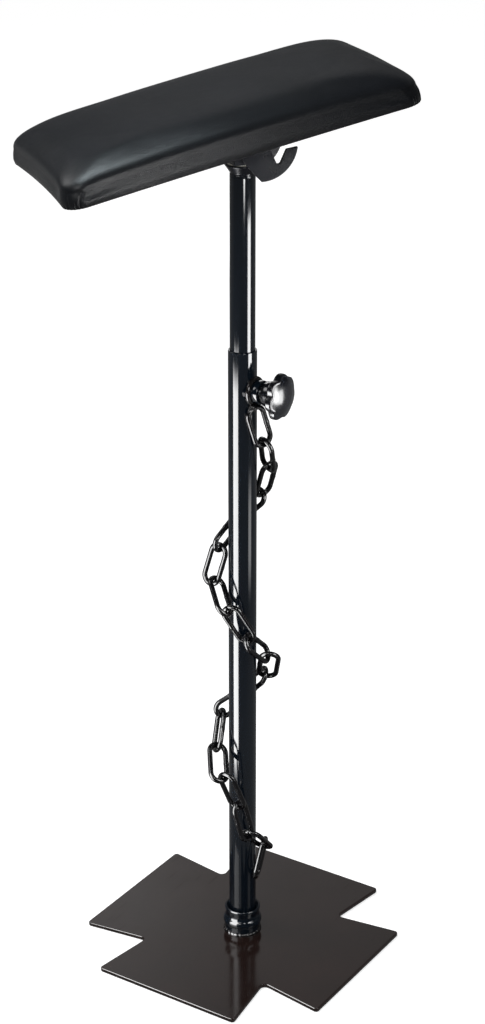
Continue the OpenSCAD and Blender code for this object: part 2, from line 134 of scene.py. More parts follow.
def add(tree: Tree, kind: str, inputs: dict | None = None, stops: Sequence[Pair] = (), **settings) -> Node:
    """Adds one node, sets it and links it.

    Args:
        tree: the node tree that gets the node.
        kind: Blender's name of the node type.
        inputs: input name or index to a value, to the socket that feeds it, or to the
            node whose first output feeds it.
        stops: for a colour ramp, pairs of position and grey level.
        settings: attributes of the node itself.

    Returns:
        The new node.
    """
    node = tree.nodes.new(kind)
    for key, value in settings.items():
        setattr(node, key, value)
    for key, value in (inputs or {}).items():
        if isinstance(value, Node):
            value = value.outputs[0]
        if isinstance(value, Socket):
            tree.links.new(value, node.inputs[key])
        else:
            node.inputs[key].default_value = value
    elements = node.color_ramp.elements if stops else ()
    while len(elements) < len(stops):
        elements.new(0.5)
    for element, (position, level) in zip(elements, stops):
        element.position = position
        element.color = (level, level, level, 1.0)
    return node


# Finishes


@dataclass(frozen=True)
class Finish:
    """A surface finish: a colour, a gloss and a pattern in Object coordinates.

    Attributes:
        name: the material's name.
        colour: its main sRGB colour.
        stain: a second sRGB colour that it drifts to in patches.
        patch: the size of those patches, in metres.
        stain_amount: how much of the second colour shows, 0 to 1.
        stain_rise: noise levels between which the second colour rises to that amount.
        rough_low: roughness where it is smoothest.
        rough_high: roughness where it is dullest.
        wear_rise: noise levels that give the smoothest and the dullest roughness.
        wear_spacing: size of the patches of wear, in patches of the second colour.
        metallic: 1 for bare metal.
        ior: index of refraction.
        specular: the shader's specular level.
        coat: weight of a clear coat.
        coat_rough: the coat's roughness.
        bump_size: the size of one bump, in metres.
        bump_height: the height of a bump, in metres.
    """

    name: str
    colour: str
    stain: str
    patch: float = 0.05
    stain_amount: float = 0.5
    stain_rise: Pair = (0.35, 0.75)
    rough_low: float = 0.15
    rough_high: float = 0.3
    wear_rise: Pair = (0.3, 0.7)
    wear_spacing: float = 1 / 0.6
    metallic: float = 0.0
    ior: float = 1.5
    specular: float = 0.5
    coat: float = 0.0
    coat_rough: float = 0.05
    bump_size: float = 0.003
    bump_height: float = 0.00002

    def make(self) -> bpy.types.Material:
        """Builds the material.

        Returns:
            The new material.
        """
        material = bpy.data.materials.new(self.name)
        tree = cleared(material)
        place = add(tree, "ShaderNodeTexCoord").outputs["Object"]
        shader = add(tree, "ShaderNodeBsdfPrincipled", {
            "Metallic": self.metallic, "Specular IOR Level": self.specular,
            "Coat Weight": self.coat, "Coat Roughness": self.coat_rough,
            "Base Color": self.tint(tree, place), "Roughness": self.gloss(tree, place),
            "Normal": self.relief(tree, place), **self.extras()})
        if not self.metallic:
            shader.inputs["IOR"].default_value = self.ior
        add(tree, "ShaderNodeOutputMaterial", {"Surface": shader})
        return material

    def extras(self) -> dict[str, float]:
        """What only one finish sets on its shader."""
        return {}

    def tint(self, tree: Tree, place: Socket) -> Socket:
        """Colour that drifts between the two colours in soft patches.

        Args:
            tree: the material's node tree.
            place: the Object coordinates.

        Returns:
            The colour's socket.
        """
        noise = add(tree, "ShaderNodeTexNoise", {"Vector": place, "Scale": 1 / self.patch, "Detail": 5.0})
        return self.blended(tree, noise)

    def blended(self, tree: Tree, noise: Node) -> Socket:
        """Blends the two colours by a noise.

        Args:
            tree: the node tree.
            noise: the noise, whose level rises through stain_rise.

        Returns:
            The colour's socket.
        """
        first, last = self.stain_rise
        amount = add(tree, "ShaderNodeValToRGB", {"Fac": noise}, [(first, 0.0), (last, self.stain_amount)])
        colours = {0: amount, 6: linear(self.colour), 7: linear(self.stain)}
        return add(tree, "ShaderNodeMix", colours, data_type="RGBA").outputs[2]

    def gloss(self, tree: Tree, place: Socket) -> Socket:
        """Roughness that drifts between its two ends, as wiped and handled paint does.

        Args:
            tree: the material's node tree.
            place: the Object coordinates.

        Returns:
            The roughness's socket.
        """
        scale = 1 / (self.patch * self.wear_spacing)
        noise = add(tree, "ShaderNodeTexNoise", {
            "Vector": place, "Scale": scale, "Detail": 6.0, "Roughness": 0.65})
        first, last = self.wear_rise
        levels = {0: noise, 1: first, 2: last, 3: self.rough_low, 4: self.rough_high}
        return add(tree, "ShaderNodeMapRange", levels).outputs[0]

    def relief(self, tree: Tree, place: Socket) -> Socket:
        """Low rounded bumps, such as the orange peel of sprayed paint.

        Args:
            tree: the material's node tree.
            place: the Object coordinates.

        Returns:
            The normal's socket.
        """
        noise = add(tree, "ShaderNodeTexNoise", {"Vector": place, "Scale": 1 / self.bump_size, "Detail": 2.0})
        return self.bumped(tree, noise).outputs["Normal"]

    def bumped(self, tree: Tree, height: Node) -> Node:
        """Turns a pattern of heights into a bump of the finish's own height."""
        return add(tree, "ShaderNodeBump", {"Height": height, "Strength": 1.0, "Distance": self.bump_height})


@dataclass(frozen=True)
class ScuffedEnamel(Finish):
    """Baked enamel with fine scratches, as on a base that feet touch.

    Attributes:
        scratch_width: spacing of the scratches.
        scratch_turn: their heading, in radians.
        scratch_stretch: width of a scratch as a share of its length.
        scratch_rise: noise levels between which a scratch appears.
        scratch_rough: roughness that a scratch adds.
    """

    scratch_width: float = 0.0022
    scratch_turn: float = 0.6
    scratch_stretch: float = 0.04
    scratch_rise: Pair = (0.66, 0.72)
    scratch_rough: float = 0.12

    def gloss(self, tree: Tree, place: Socket) -> Socket:
        """Smooth enamel, duller in drifts and along stretched scratches.

        Args:
            tree: the material's node tree.
            place: the Object coordinates.

        Returns:
            The roughness's socket.
        """
        smooth = super().gloss(tree, place)
        stretched = add(tree, "ShaderNodeMapping", {
            "Vector": place, "Rotation": (0.0, 0.0, self.scratch_turn),
            "Scale": (1.0, self.scratch_stretch, 1.0)})
        lines = add(tree, "ShaderNodeTexNoise", {
            "Vector": stretched, "Scale": 1 / self.scratch_width, "Detail": 2.0})
        first, last = self.scratch_rise
        marks = add(tree, "ShaderNodeValToRGB", {"Fac": lines}, [(first, 0.0), (last, self.scratch_rough)])
        return add(tree, "ShaderNodeMath", {0: smooth, 1: marks}, operation="ADD", use_clamp=True).outputs[0]


@dataclass(frozen=True)
class Leather(Finish):
    """Embossed leatherette: a film with a pebble grain over a knitted back.

    Attributes:
        pebble: width of one pebble. Real grain is about 0.7 mm, drawn at twice that so
            that it shows at the render's 1 pixel to a millimetre.
        pebble_edge: share of a pebble over which it rises from its edge.
        crease: spacing of the soft creases that come with use.
        crease_height: their height.
        sheen: weight of the matt lacquer's sheen.
        sheen_rough: roughness of that sheen.
    """

    pebble: float = 0.0015
    pebble_edge: float = 0.35
    crease: float = 0.03
    crease_height: float = 0.0004
    sheen: float = 0.03
    sheen_rough: float = 0.4

    def extras(self) -> dict[str, float]:
        """A faint sheen from the film's matt lacquer."""
        return {"Sheen Weight": self.sheen, "Sheen Roughness": self.sheen_rough}

    def relief(self, tree: Tree, place: Socket) -> Socket:
        """Pebbles from the distance to cell edges, over broad soft creases.

        Args:
            tree: the material's node tree.
            place: the Object coordinates.

        Returns:
            The normal's socket.
        """
        cells = add(tree, "ShaderNodeTexVoronoi", {"Vector": place, "Scale": 1 / self.pebble},
                    feature="DISTANCE_TO_EDGE")
        domes = add(tree, "ShaderNodeValToRGB", {"Fac": cells}, [(0.0, 0.0), (self.pebble_edge, 1.0)])
        folds = add(tree, "ShaderNodeTexNoise", {
            "Vector": place, "Scale": 1 / self.crease, "Detail": 3.0, "Distortion": 0.4})
        broad = add(tree, "ShaderNodeBump", {
            "Height": folds, "Strength": 1.0, "Distance": self.crease_height,
            "Normal": self.bumped(tree, domes)})
        return broad.outputs["Normal"]


@dataclass(frozen=True)
class Plywood(Finish):
    """Birch plywood, with grain that runs along the board.

    Attributes:
        grain: width of the grain's streaks.
        stretch: width of a streak as a share of its length.
    """

    grain: float = 0.004
    stretch: float = 0.08

    def tint(self, tree: Tree, place: Socket) -> Socket:
        """Wood colour along stretched noise.

        Args:
            tree: the material's node tree.
            place: the Object coordinates.

        Returns:
            The colour's socket.
        """
        long = add(tree, "ShaderNodeMapping", {"Vector": place, "Scale": (self.stretch, 1.0, 1.0)})
        noise = add(tree, "ShaderNodeTexNoise", {"Vector": long, "Scale": 1 / self.grain, "Detail": 6.0})
        return self.blended(tree, noise)


@dataclass(frozen=True)
class NonWoven(Finish):
    """Spun-bonded dust cloth: matt fibres pressed into small square dimples.

    Attributes:
        dimple: spacing of the dimples.
        unevenness: how far they stray from a grid, 0 to 1.
    """

    dimple: float = 0.002
    unevenness: float = 0.15

    def relief(self, tree: Tree, place: Socket) -> Socket:
        """A grid of pressed dimples, spaced at their real pitch.

        Args:
            tree: the material's node tree.
            place: the Object coordinates.

        Returns:
            The normal's socket.
        """
        cells = add(tree, "ShaderNodeTexVoronoi", {
            "Vector": place, "Scale": 1 / self.dimple, "Randomness": self.unevenness}, feature="F1")
        return self.bumped(tree, cells).outputs["Normal"]


@dataclass(frozen=True)
class TurnedMetal(Finish):
    """Bare metal or bright plate, with faint lines from the lathe.

    Attributes:
        line: spacing of the lines.
    """

    line: float = 0.0006

    def gloss(self, tree: Tree, place: Socket) -> Socket:
        """Roughness in fine bands.

        Args:
            tree: the material's node tree.
            place: the Object coordinates.

        Returns:
            The roughness's socket.
        """
        noise = add(tree, "ShaderNodeTexNoise", {"Vector": place, "Scale": 1 / self.line, "Detail": 2.0})
        return add(tree, "ShaderNodeMapRange", {0: noise, 3: self.rough_low, 4: self.rough_high}).outputs[0]


FINISHES: dict[Slot, Finish] = {
    # Gloss enamel on rolled sheet: near black with a warm cast, and a mirror at low angles
    Slot.PLATE: ScuffedEnamel("enamel on the base plate", "#1d1412", "#281b18", patch=0.09,
                              rough_low=0.07, rough_high=0.16, bump_size=0.004, bump_height=0.000006),
    # Gloss enamel on drawn tube: black, with long clean highlights
    Slot.POST: Finish("enamel on the tubes", "#0b121a", "#0f171f", patch=0.06,
                      rough_low=0.07, rough_high=0.13, bump_size=0.005, bump_height=0.000008),
    # The same enamel, thicker and duller over cut and folded plate
    Slot.HEAD: Finish("enamel on the head", "#0e1016", "#151821", patch=0.02, rough_low=0.16,
                      rough_high=0.28, specular=0.22, bump_size=0.0025, bump_height=0.00003),
    # Dipped chain: thick gloss paint that softens every edge
    Slot.CHAIN: Finish("enamel on the chain", "#08080a", "#0f0f12", patch=0.01, rough_low=0.12,
                       rough_high=0.24, specular=0.4, coat=0.1, bump_size=0.002, bump_height=0.00004),
    # Weld metal under paint: lumpy, and shiny where the bead is smooth
    Slot.WELD: Finish("painted weld", "#121112", "#1c1818", patch=0.006,
                      rough_low=0.10, bump_size=0.0012, bump_height=0.00006),
    # Zinc plate over turned steel: pale and bright, with fine rings
    Slot.ZINC: TurnedMetal("zinc plated steel", "#b9babb", "#9b9da0", patch=0.004, rough_low=0.22,
                           rough_high=0.42, metallic=1.0, bump_size=0.001, bump_height=0.00001),
    # Turned brass: warm and bright, with the same rings
    Slot.BRASS: TurnedMetal("turned brass", "#c79a4f", "#a9803d", patch=0.004, rough_low=0.2,
                            rough_high=0.35, metallic=1.0, bump_size=0.001, bump_height=0.00001),
    # Moulded phenolic: deep black with a polished skin
    Slot.KNOB: Finish("moulded phenolic", "#0a0c11", "#0f1218", patch=0.02, rough_low=0.17,
                      rough_high=0.22, ior=1.55, bump_size=0.004, bump_height=0.00001),
    # Moulded polyethylene: a soft, waxy black
    Slot.PLUG: Finish("moulded polyethylene", "#161617", "#1f1f20", patch=0.01,
                      rough_low=0.45, rough_high=0.6),
    # Nylon: off-white, waxy and slightly soft at the edges
    Slot.WASHER: Finish("cut nylon", "#d3cfc4", "#bfb9ab", patch=0.006,
                        rough_low=0.35, rough_high=0.5, ior=1.53),
    # Spun-bonded cloth: dull black, with a grid of dimples
    Slot.DUST: NonWoven("spun-bonded cloth", "#1a1a1b", "#232324", rough_low=0.85, rough_high=0.95,
                        specular=0.2, bump_height=0.0002),
    # Birch: pale, with darker streaks along the board
    Slot.PLY: Plywood("birch plywood", "#c59c6c", "#a67a4b", stain_amount=1.0, stain_rise=(0.35, 0.7),
                      rough_low=0.5, rough_high=0.7),
    # Open cell foam: cream, with no shine at all
    Slot.FOAM: Finish("open cell foam", "#e2d8b8", "#d2c59e", patch=0.02, rough_low=0.9, rough_high=1.0,
                      specular=0.1, bump_size=0.001, bump_height=0.0004),
    # Leatherette: a broad soft highlight, broken up by the grain
    Slot.LEATHER: Leather("embossed leatherette", "#090b0f", "#101217", patch=0.07, rough_low=0.34,
                          rough_high=0.44, specular=0.32, bump_height=0.00007),
}


# Surfaces


@dataclass
class Surface:
    """Points and faces of one or more closed sheets.

    Attributes:
        points: an N by 3 array.
        faces: tuples of point indices.
        flat: how many of the last faces stay flat shaded, such as end caps.
    """

    points: Points
    faces: list[tuple[int, ...]]
    flat: list[int] = field(default_factory=list)

    def moved(self, matrix: Matrix) -> "Surface":
        """A copy of the surface under a 4 by 4 matrix."""
        m = np.array(matrix)
        return Surface(self.points @ m[:3, :3].T + m[:3, 3], self.faces, self.flat)

    @staticmethod
    def joined(parts: Sequence["Surface"]) -> "Surface":
        """Joins surfaces without merging their points.

        Args:
            parts: the surfaces.

        Returns:
            All of them as one surface.
        """
        points, faces, flat, start, face_start = [], [], [], 0, 0
        for part in parts:
            points.append(part.points)
            faces += [tuple(i + start for i in f) for f in part.faces]
            flat += [i + face_start for i in part.flat]
            start += len(part.points)
            face_start += len(part.faces)
        return Surface(np.vstack(points), faces, flat)


def grid_faces(rows: int, columns: int, wrap_rows: bool, wrap_columns: bool) -> list[tuple[int, ...]]:
    """Quads of a grid whose points are stored row by row.

    Args:
        rows: how many rows of points.
        columns: how many points in a row.
        wrap_rows: whether the last row joins the first.
        wrap_columns: whether the last column joins the first.

    Returns:
        The quads as index tuples.
    """
    r = np.arange(rows if wrap_rows else rows - 1)
    c = np.arange(columns if wrap_columns else columns - 1)
    rr, cc = np.meshgrid(r, c, indexing="ij")
    r2, c2 = (rr + 1) % rows, (cc + 1) % columns
    quads = np.stack([rr * columns + cc, rr * columns + c2, r2 * columns + c2, r2 * columns + cc], -1)
    return [tuple(q) for q in quads.reshape(-1, 4).tolist()]


def softened(path: Sequence[Sequence[float]], radius: float, closed: bool = True, steps: int = 4) -> Points:
    """Rounds the corners of a flat path with quadratic curves.

    Each corner is cut back along both edges by the radius, or by the largest share of
    the edge, and the cut points are joined by a curve that bends towards the corner.

    Args:
        path: points of the path.
        radius: how far each corner is cut back.
        closed: whether the path is a loop.
        steps: segments in each curve.

    Returns:
        The rounded path as an array.
    """
    largest_share = 0.45
    p = np.asarray(path, float)
    before, after = np.roll(p, 1, 0) - p, np.roll(p, -1, 0) - p
    lb, la = np.linalg.norm(before, axis=1), np.linalg.norm(after, axis=1)
    cut_b, cut_a = np.minimum(radius, largest_share * lb), np.minimum(radius, largest_share * la)
    start = p + before * (cut_b / np.maximum(lb, TINY))[:, None]
    end = p + after * (cut_a / np.maximum(la, TINY))[:, None]
    t = np.linspace(0, 1, steps + 1)[None, :, None]
    curves = (1 - t) ** 2 * start[:, None] + 2 * t * (1 - t) * p[:, None] + t ** 2 * end[:, None]
    if closed:
        return curves.reshape(-1, p.shape[1])
    inner = curves[1:-1].reshape(-1, p.shape[1])
    return np.vstack([p[:1], inner, p[-1:]])


def arc(centre: Sequence[float], radius: float, start: float, stop: float, steps: int) -> Points:
    """Points on a circle between two angles in degrees."""
    a = np.radians(np.linspace(start, stop, steps + 1))
    return np.asarray(centre) + radius * np.stack([np.cos(a), np.sin(a)], -1)


def revolved(profile: Points, sides: int = 128, closed: bool = True) -> Surface:
    """Turns a profile of radius and height about the Z axis.

    A point of the surface is (r cos a, r sin a, h) for each profile point (r, h) and
    each angle a. An open profile starts and ends on the axis, where it closes in a fan.

    Args:
        profile: radius and height of each point, in order.
        sides: steps round the axis.
        closed: whether the profile is a loop clear of the axis.

    Returns:
        The closed surface, facing outwards.
    """
    profile = np.asarray(profile, float)
    area = np.sum(profile[:, 0] * np.roll(profile[:, 1], -1) - np.roll(profile[:, 0], -1) * profile[:, 1])
    if area < 0:
        profile = profile[::-1]
    ring = profile if closed else profile[1:-1]
    a = np.linspace(0, TAU, sides, endpoint=False)
    r, h = ring[:, :1], ring[:, 1:]
    height = np.broadcast_to(h, (len(ring), sides))
    points = np.stack([r * np.cos(a), r * np.sin(a), height], -1).reshape(-1, 3)
    faces = grid_faces(len(ring), sides, closed, True)
    if not closed:
        last, n = (len(ring) - 1) * sides, len(points)
        points = np.vstack([points, [[0, 0, profile[0, 1]], [0, 0, profile[-1, 1]]]])
        faces += [(n, (i + 1) % sides, i) for i in range(sides)]
        faces += [(n + 1, last + i, last + (i + 1) % sides) for i in range(sides)]
    return Surface(points, faces)


def offset(outline: Points, distance: float, sharpest: float = 0.2) -> Points:
    """Moves a closed anticlockwise outline inwards by a distance, along its mitred normals.

    A point moves by the sum of its two edges' normals over 1 + cos of the turn between
    them, which is kept above the sharpest value so that no mitre runs away.

    Args:
        outline: closed anticlockwise outline in the plane.
        distance: how far it moves inwards.
        sharpest: least value of 1 + cos.

    Returns:
        The moved outline.
    """
    edge = np.roll(outline, -1, 0) - outline
    edge /= np.maximum(np.linalg.norm(edge, axis=1, keepdims=True), TINY)
    normal = np.stack([-edge[:, 1], edge[:, 0]], -1)
    before = np.roll(normal, 1, 0)
    turn = np.sum(before * normal, 1, keepdims=True)
    return outline + distance * (before + normal) / np.maximum(1 + turn, sharpest)


def slab(outline: Points, low: float, high: float, edge: float, steps: int = 3) -> Surface:
    """A flat plate whose outline has rounded upper and lower edges.

    Rings follow a quarter circle from the underside to the side and from the side to
    the top: inset = e (1 - sin b) and height = e (1 - cos b) for b from 0 to 90.

    Args:
        outline: closed anticlockwise outline in the plane.
        low: height of the underside.
        high: height of the top.
        edge: radius of the rounded edges.
        steps: segments in a rounded edge.

    Returns:
        The closed plate.
    """
    b = np.linspace(0, QUARTER, steps + 1)
    inset, rise = edge * (1 - np.sin(b)), edge * (1 - np.cos(b))
    levels = [(i, low + r) for i, r in zip(inset, rise)]
    levels += [(i, high - r) for i, r in zip(inset[::-1], rise[::-1])]
    rings = [np.column_stack([offset(outline, i), np.full(len(outline), z)]) for i, z in levels]
    n, faces = len(outline), grid_faces(len(rings), len(outline), False, True)
    top = (len(rings) - 1) * n
    faces += [tuple(range(n - 1, -1, -1)), tuple(range(top, top + n))]
    return Surface(np.vstack(rings), faces, [len(faces) - 2, len(faces) - 1])


def swept(path: Points, up: Points, radius: Points, sides: int = 18) -> Surface:
    """Carries a circle along a closed flat path.

    A point is path + radius (cos a side + sin a up), where side is square to the path
    and to up.

    Args:
        path: centre points.
        up: the unit vector square to the path's plane.
        radius: the circle's radius at each point.
        sides: steps round the circle.

    Returns:
        The closed tube.
    """
    tangent = np.roll(path, -1, 0) - np.roll(path, 1, 0)
    tangent /= np.linalg.norm(tangent, axis=1, keepdims=True)
    side = np.cross(tangent, up)
    a = np.linspace(0, TAU, sides, endpoint=False)
    ring = np.cos(a)[None, :, None] * side[:, None] + np.sin(a)[None, :, None] * up
    points = path[:, None] + radius[:, None, None] * ring
    return Surface(points.reshape(-1, 3), grid_faces(len(path), sides, True, True))


# Pieces


MATERIALS: dict[Slot, bpy.types.Material] = {}
# Edges of a weld bent less than this many degrees are smooth
WELD_SHARP = 60.0


def finish_of(slot: Slot) -> bpy.types.Material:
    """Gives the material of a slot, and makes it on first use.

    Args:
        slot: the record's material slot.

    Returns:
        Its material.
    """
    if slot not in MATERIALS:
        MATERIALS[slot] = FINISHES[slot].make()
    return MATERIALS[slot]


def place_piece(obj: bpy.types.Object, slot: Slot, body: Body, nodes: Sequence[str] = ()) -> bpy.types.Object:
    """Gives a new piece its finish, its body and the nodes that it stands for.

    Args:
        obj: the piece.
        slot: its material slot.
        body: the body that it rides on.
        nodes: the construction's nodes that it replaces.

    Returns:
        The same piece.
    """
    obj.data.materials.clear()
    obj.data.materials.append(finish_of(slot))
    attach(obj, body.value)
    if nodes:
        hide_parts(*nodes)
    LOG.info("%s: %d faces on %s", obj.name, len(obj.data.polygons), body.value)
    return obj


def put(name: str, data: bpy.types.ID) -> bpy.types.Object:
    """Adds an object to the scene, at the origin.

    Args:
        name: the object's name.
        data: its mesh, light or camera.

    Returns:
        The new object.
    """
    obj = bpy.data.objects.new(name, data)
    bpy.context.scene.collection.objects.link(obj)
    return obj


def new_object(name: str, surface: Surface) -> bpy.types.Object:
    """Makes a smooth mesh object that faces outwards from a surface.

    Args:
        name: the object's name.
        surface: its points and faces, in their place.

    Returns:
        The new object.
    """
    mesh = bpy.data.meshes.new(name)
    mesh.from_pydata(surface.points.tolist(), [], surface.faces)
    smooth = np.ones(len(mesh.polygons), bool)
    smooth[surface.flat] = False
    mesh.polygons.foreach_set("use_smooth", smooth)
    work = bmesh.new()
    work.from_mesh(mesh)
    bmesh.ops.recalc_face_normals(work, faces=work.faces)
    work.to_mesh(mesh)
    work.free()
    return put(name, mesh)


def node_points(node: str) -> Points:
    """Reads the points of one of the construction's nodes at rest.

    Args:
        node: the node's name.

    Returns:
        An array of N by 3.
    """
    mesh = frame["nodes"][node].data
    points = np.empty(len(mesh.vertices) * 3)
    mesh.vertices.foreach_get("co", points)
    return points.reshape(-1, 3)


def dressed_copy(node: str, name: str, bevel: float = 0.0, sharp: float = 35.0) -> bpy.types.Object:
    """Copies a node's mesh, merges its loose triangles and smooths it.

    Args:
        node: the construction's node.
        name: the new piece's name.
        bevel: width of the rounded edges, or 0 for none.
        sharp: edges bent more than this many degrees stay sharp.

    Returns:
        The new object.
    """
    same_point, same_plane = 0.001 * MM, math.radians(0.5)
    mesh = frame["nodes"][node].data.copy()
    mesh.name = name
    work = bmesh.new()
    work.from_mesh(mesh)
    bmesh.ops.remove_doubles(work, verts=work.verts, dist=same_point)
    bmesh.ops.dissolve_limit(work, angle_limit=same_plane, verts=work.verts, edges=work.edges)
    work.to_mesh(mesh)
    work.free()
    mesh.polygons.foreach_set("use_smooth", np.ones(len(mesh.polygons), bool))
    mesh.set_sharp_from_angle(angle=math.radians(sharp))
    obj = put(name, mesh)
    if bevel:
        cut = obj.modifiers.new("edges", "BEVEL")
        cut.width, cut.segments, cut.limit_method = bevel, 2, "ANGLE"
        cut.angle_limit = math.radians(sharp)
        cut.harden_normals = True
    return obj


# Base and foot


@dataclass
class Foot:
    """The cross plate, the socket and the weld between them.

    Attributes:
        tip_width: width of an arm at its tip.
        root_width: width of an arm at its root.
        tip_radius: rounding of the corners at the tips.
        notch_radius: rounding in the notches.
        edge: rounding of the plate's upper and lower edges.
        lip: rounding of the socket's turned edges.
        bead: width of the weld.
        bead_share: mean size of its section, as a share of that width.
        bead_rise: its height, as a share of its width.
        ripples: weld ripples round the socket.
        ripple_share: height of a ripple, as a share of the width.
        lump_shares: heights of the uneven feed's slow and fast waves, as such shares.
        lump_waves: how many of each of them go round the socket.
        wall: wall of the socket round the tube.
        flare: outward flare of its rim.
        rim_height: height over which it flares.
        rim_edge: chamfer of the rim.
        waist_share: height of the waist's top, as a share of the socket's.
        base_flare: how far its base stands out from its waist.
        bulge_round: radius of the swelling's section.
        bulge_share: height of the swelling, as a share of the socket's height.
        bulge_turn: how far its section turns each way from level, in degrees.
        seat_share: height at which the tube's end sits, as a share of the socket's.
        core_share: radius of the hole below the tube, as a share of the tube's.
        tube_gap: gap between the tube and the socket.
    """

    tip_width: float = 190 * MM
    root_width: float = 167 * MM
    tip_radius: float = 4 * MM
    notch_radius: float = 6 * MM
    edge: float = 1.1 * MM
    lip: float = 1.2 * MM
    bead: float = 2.6 * MM
    bead_share: float = 0.80
    bead_rise: float = 1.25
    ripples: int = 22
    ripple_share: float = 0.16
    lump_shares: Pair = (0.06, 0.042)
    lump_waves: tuple[int, int] = (3, 7)
    wall: float = 3.02 * MM
    flare: float = 2.2 * MM
    rim_height: float = 3 * MM
    rim_edge: float = 1.5 * MM
    waist_share: float = 0.68
    base_flare: float = 1.5 * MM
    bulge_round: float = 6 * MM
    bulge_share: float = 0.42
    bulge_turn: float = 55.0
    seat_share: float = 0.1
    core_share: float = 0.5
    tube_gap: float = 0.02 * MM

    def outline(self) -> Points:
        """The cross: three corners an arm, turned by quarter turns, each rounded."""
        _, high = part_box("base_plate")
        e, a, n = high.x, self.tip_width / 2, self.root_width / 2
        arm = np.array([[e, -a], [e, a], [n, n]])
        quarter_turn = np.array([[0, 1], [-1, 0]])
        corners = np.vstack([arm @ np.linalg.matrix_power(quarter_turn, k) for k in range(4)])
        radii = np.tile([self.tip_radius, self.tip_radius, self.notch_radius], 4)
        return self.rounded(corners, radii)

    @staticmethod
    def rounded(corners: Points, radii: Points, steps: int = 8) -> Points:
        """Replaces each corner by an arc that touches both edges.

        Args:
            corners: the outline's corners, anticlockwise.
            radii: the arc's radius at each corner.
            steps: segments in an arc.

        Returns:
            The rounded outline.
        """
        u = np.roll(corners, 1, 0) - corners
        v = np.roll(corners, -1, 0) - corners
        u /= np.linalg.norm(u, axis=1, keepdims=True)
        v /= np.linalg.norm(v, axis=1, keepdims=True)
        half = np.arccos(np.clip(np.sum(u * v, 1), -1, 1)) / 2
        mid = (u + v) / np.linalg.norm(u + v, axis=1, keepdims=True)
        centre = corners + mid * (radii / np.sin(half))[:, None]
        first = corners + u * (radii / np.tan(half))[:, None] - centre
        last = corners + v * (radii / np.tan(half))[:, None] - centre
        swing = np.arctan2(first[:, 0] * last[:, 1] - first[:, 1] * last[:, 0], np.sum(first * last, 1))
        t = np.linspace(0, 1, steps + 1)
        a = swing[:, None] * t
        x = first[:, None, 0] * np.cos(a) - first[:, None, 1] * np.sin(a)
        y = first[:, None, 0] * np.sin(a) + first[:, None, 1] * np.cos(a)
        return (centre[:, None] + np.stack([x, y], -1)).reshape(-1, 2)

    def plate(self) -> None:
        """The plate, with a rolled edge that catches the light."""
        low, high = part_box("base_plate")
        obj = new_object("base_plate_enamelled", slab(self.outline(), low.z, high.z, self.edge))
        place_piece(obj, Slot.PLATE, Body.STAND, ["base_plate"])

    def socket(self) -> None:
        """The turned socket: a foot, a drawn-in waist and a flared rim round the tube."""
        low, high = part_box("foot_socket")
        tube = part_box("outer_tube")[1].x
        waist = tube + self.wall
        rim, foot = waist + self.flare, waist + self.base_flare
        z, h = low.z, high.z - low.z
        centre = (high.x - self.bulge_round, z + self.bulge_share * h)
        bulge = arc(centre, self.bulge_round, -self.bulge_turn, self.bulge_turn, 16)
        core, bore = tube * self.core_share, tube + self.tube_gap
        top, seat = z + h, z + self.seat_share * h
        below = softened([(core, z), (foot, z), bulge[0], bulge[1]], self.lip, closed=False)[:-1]
        above = softened([bulge[-1], (waist, z + self.waist_share * h), (rim, top - self.rim_height),
                          (rim, top - self.rim_edge), (rim - self.rim_edge, top),
                          (bore, top - self.rim_height), (bore, seat), (core, seat)], self.lip, closed=False)
        profile = np.vstack([below, bulge[1:-1], above])
        obj = new_object("foot_socket_turned", revolved(profile, 160))
        place_piece(obj, Slot.POST, Body.STAND, ["foot_socket"])

    def weld(self) -> None:
        """The bead: a quarter round carried about the socket, swollen by its ripples.

        At the angles a round the socket and b up the bead, its size is
        bead (share + ripple |sin(n a / 2 + 0.9 sin b)|^0.7 + lumps), where the lumps are
        two sine waves of a, and the 0.9 draws the ripples into crescents.
        """
        low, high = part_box("foot_weld")
        outer, z = high.x, low.z
        inner = outer - self.bead
        turns, steps = 352, 14
        crescent, roundness, overrun, sunk = 0.9, 0.7, 0.15, 0.4 * MM
        a = np.linspace(0, TAU, turns, endpoint=False)[:, None]
        b = np.linspace(-overrun, QUARTER + overrun, steps)[None]
        wave = np.abs(np.sin(a * self.ripples / 2 + crescent * np.sin(b))) ** roundness
        slow, fast = self.lump_waves
        lump = self.lump_shares[0] * np.sin(slow * a + 1.0) + self.lump_shares[1] * np.sin(fast * a)
        size = self.bead * (self.bead_share + self.ripple_share * wave + lump)
        r = inner + size * np.cos(b)
        h = z + size * self.bead_rise * np.sin(b)
        points = np.stack([r * np.cos(a), r * np.sin(a), np.maximum(h, z)], -1)
        back = np.stack([(inner - sunk) * np.cos(a), (inner - sunk) * np.sin(a), np.full_like(a, z)], -1)
        rows = np.concatenate([points, back], 1)
        surface = Surface(rows.reshape(-1, 3), grid_faces(turns, steps + 1, True, True))
        place_piece(new_object("foot_weld_bead", surface), Slot.WELD, Body.STAND, ["foot_weld"])

    def build(self) -> None:
        """Builds the plate, the socket and the weld."""
        self.plate()
        self.socket()
        self.weld()


# Post


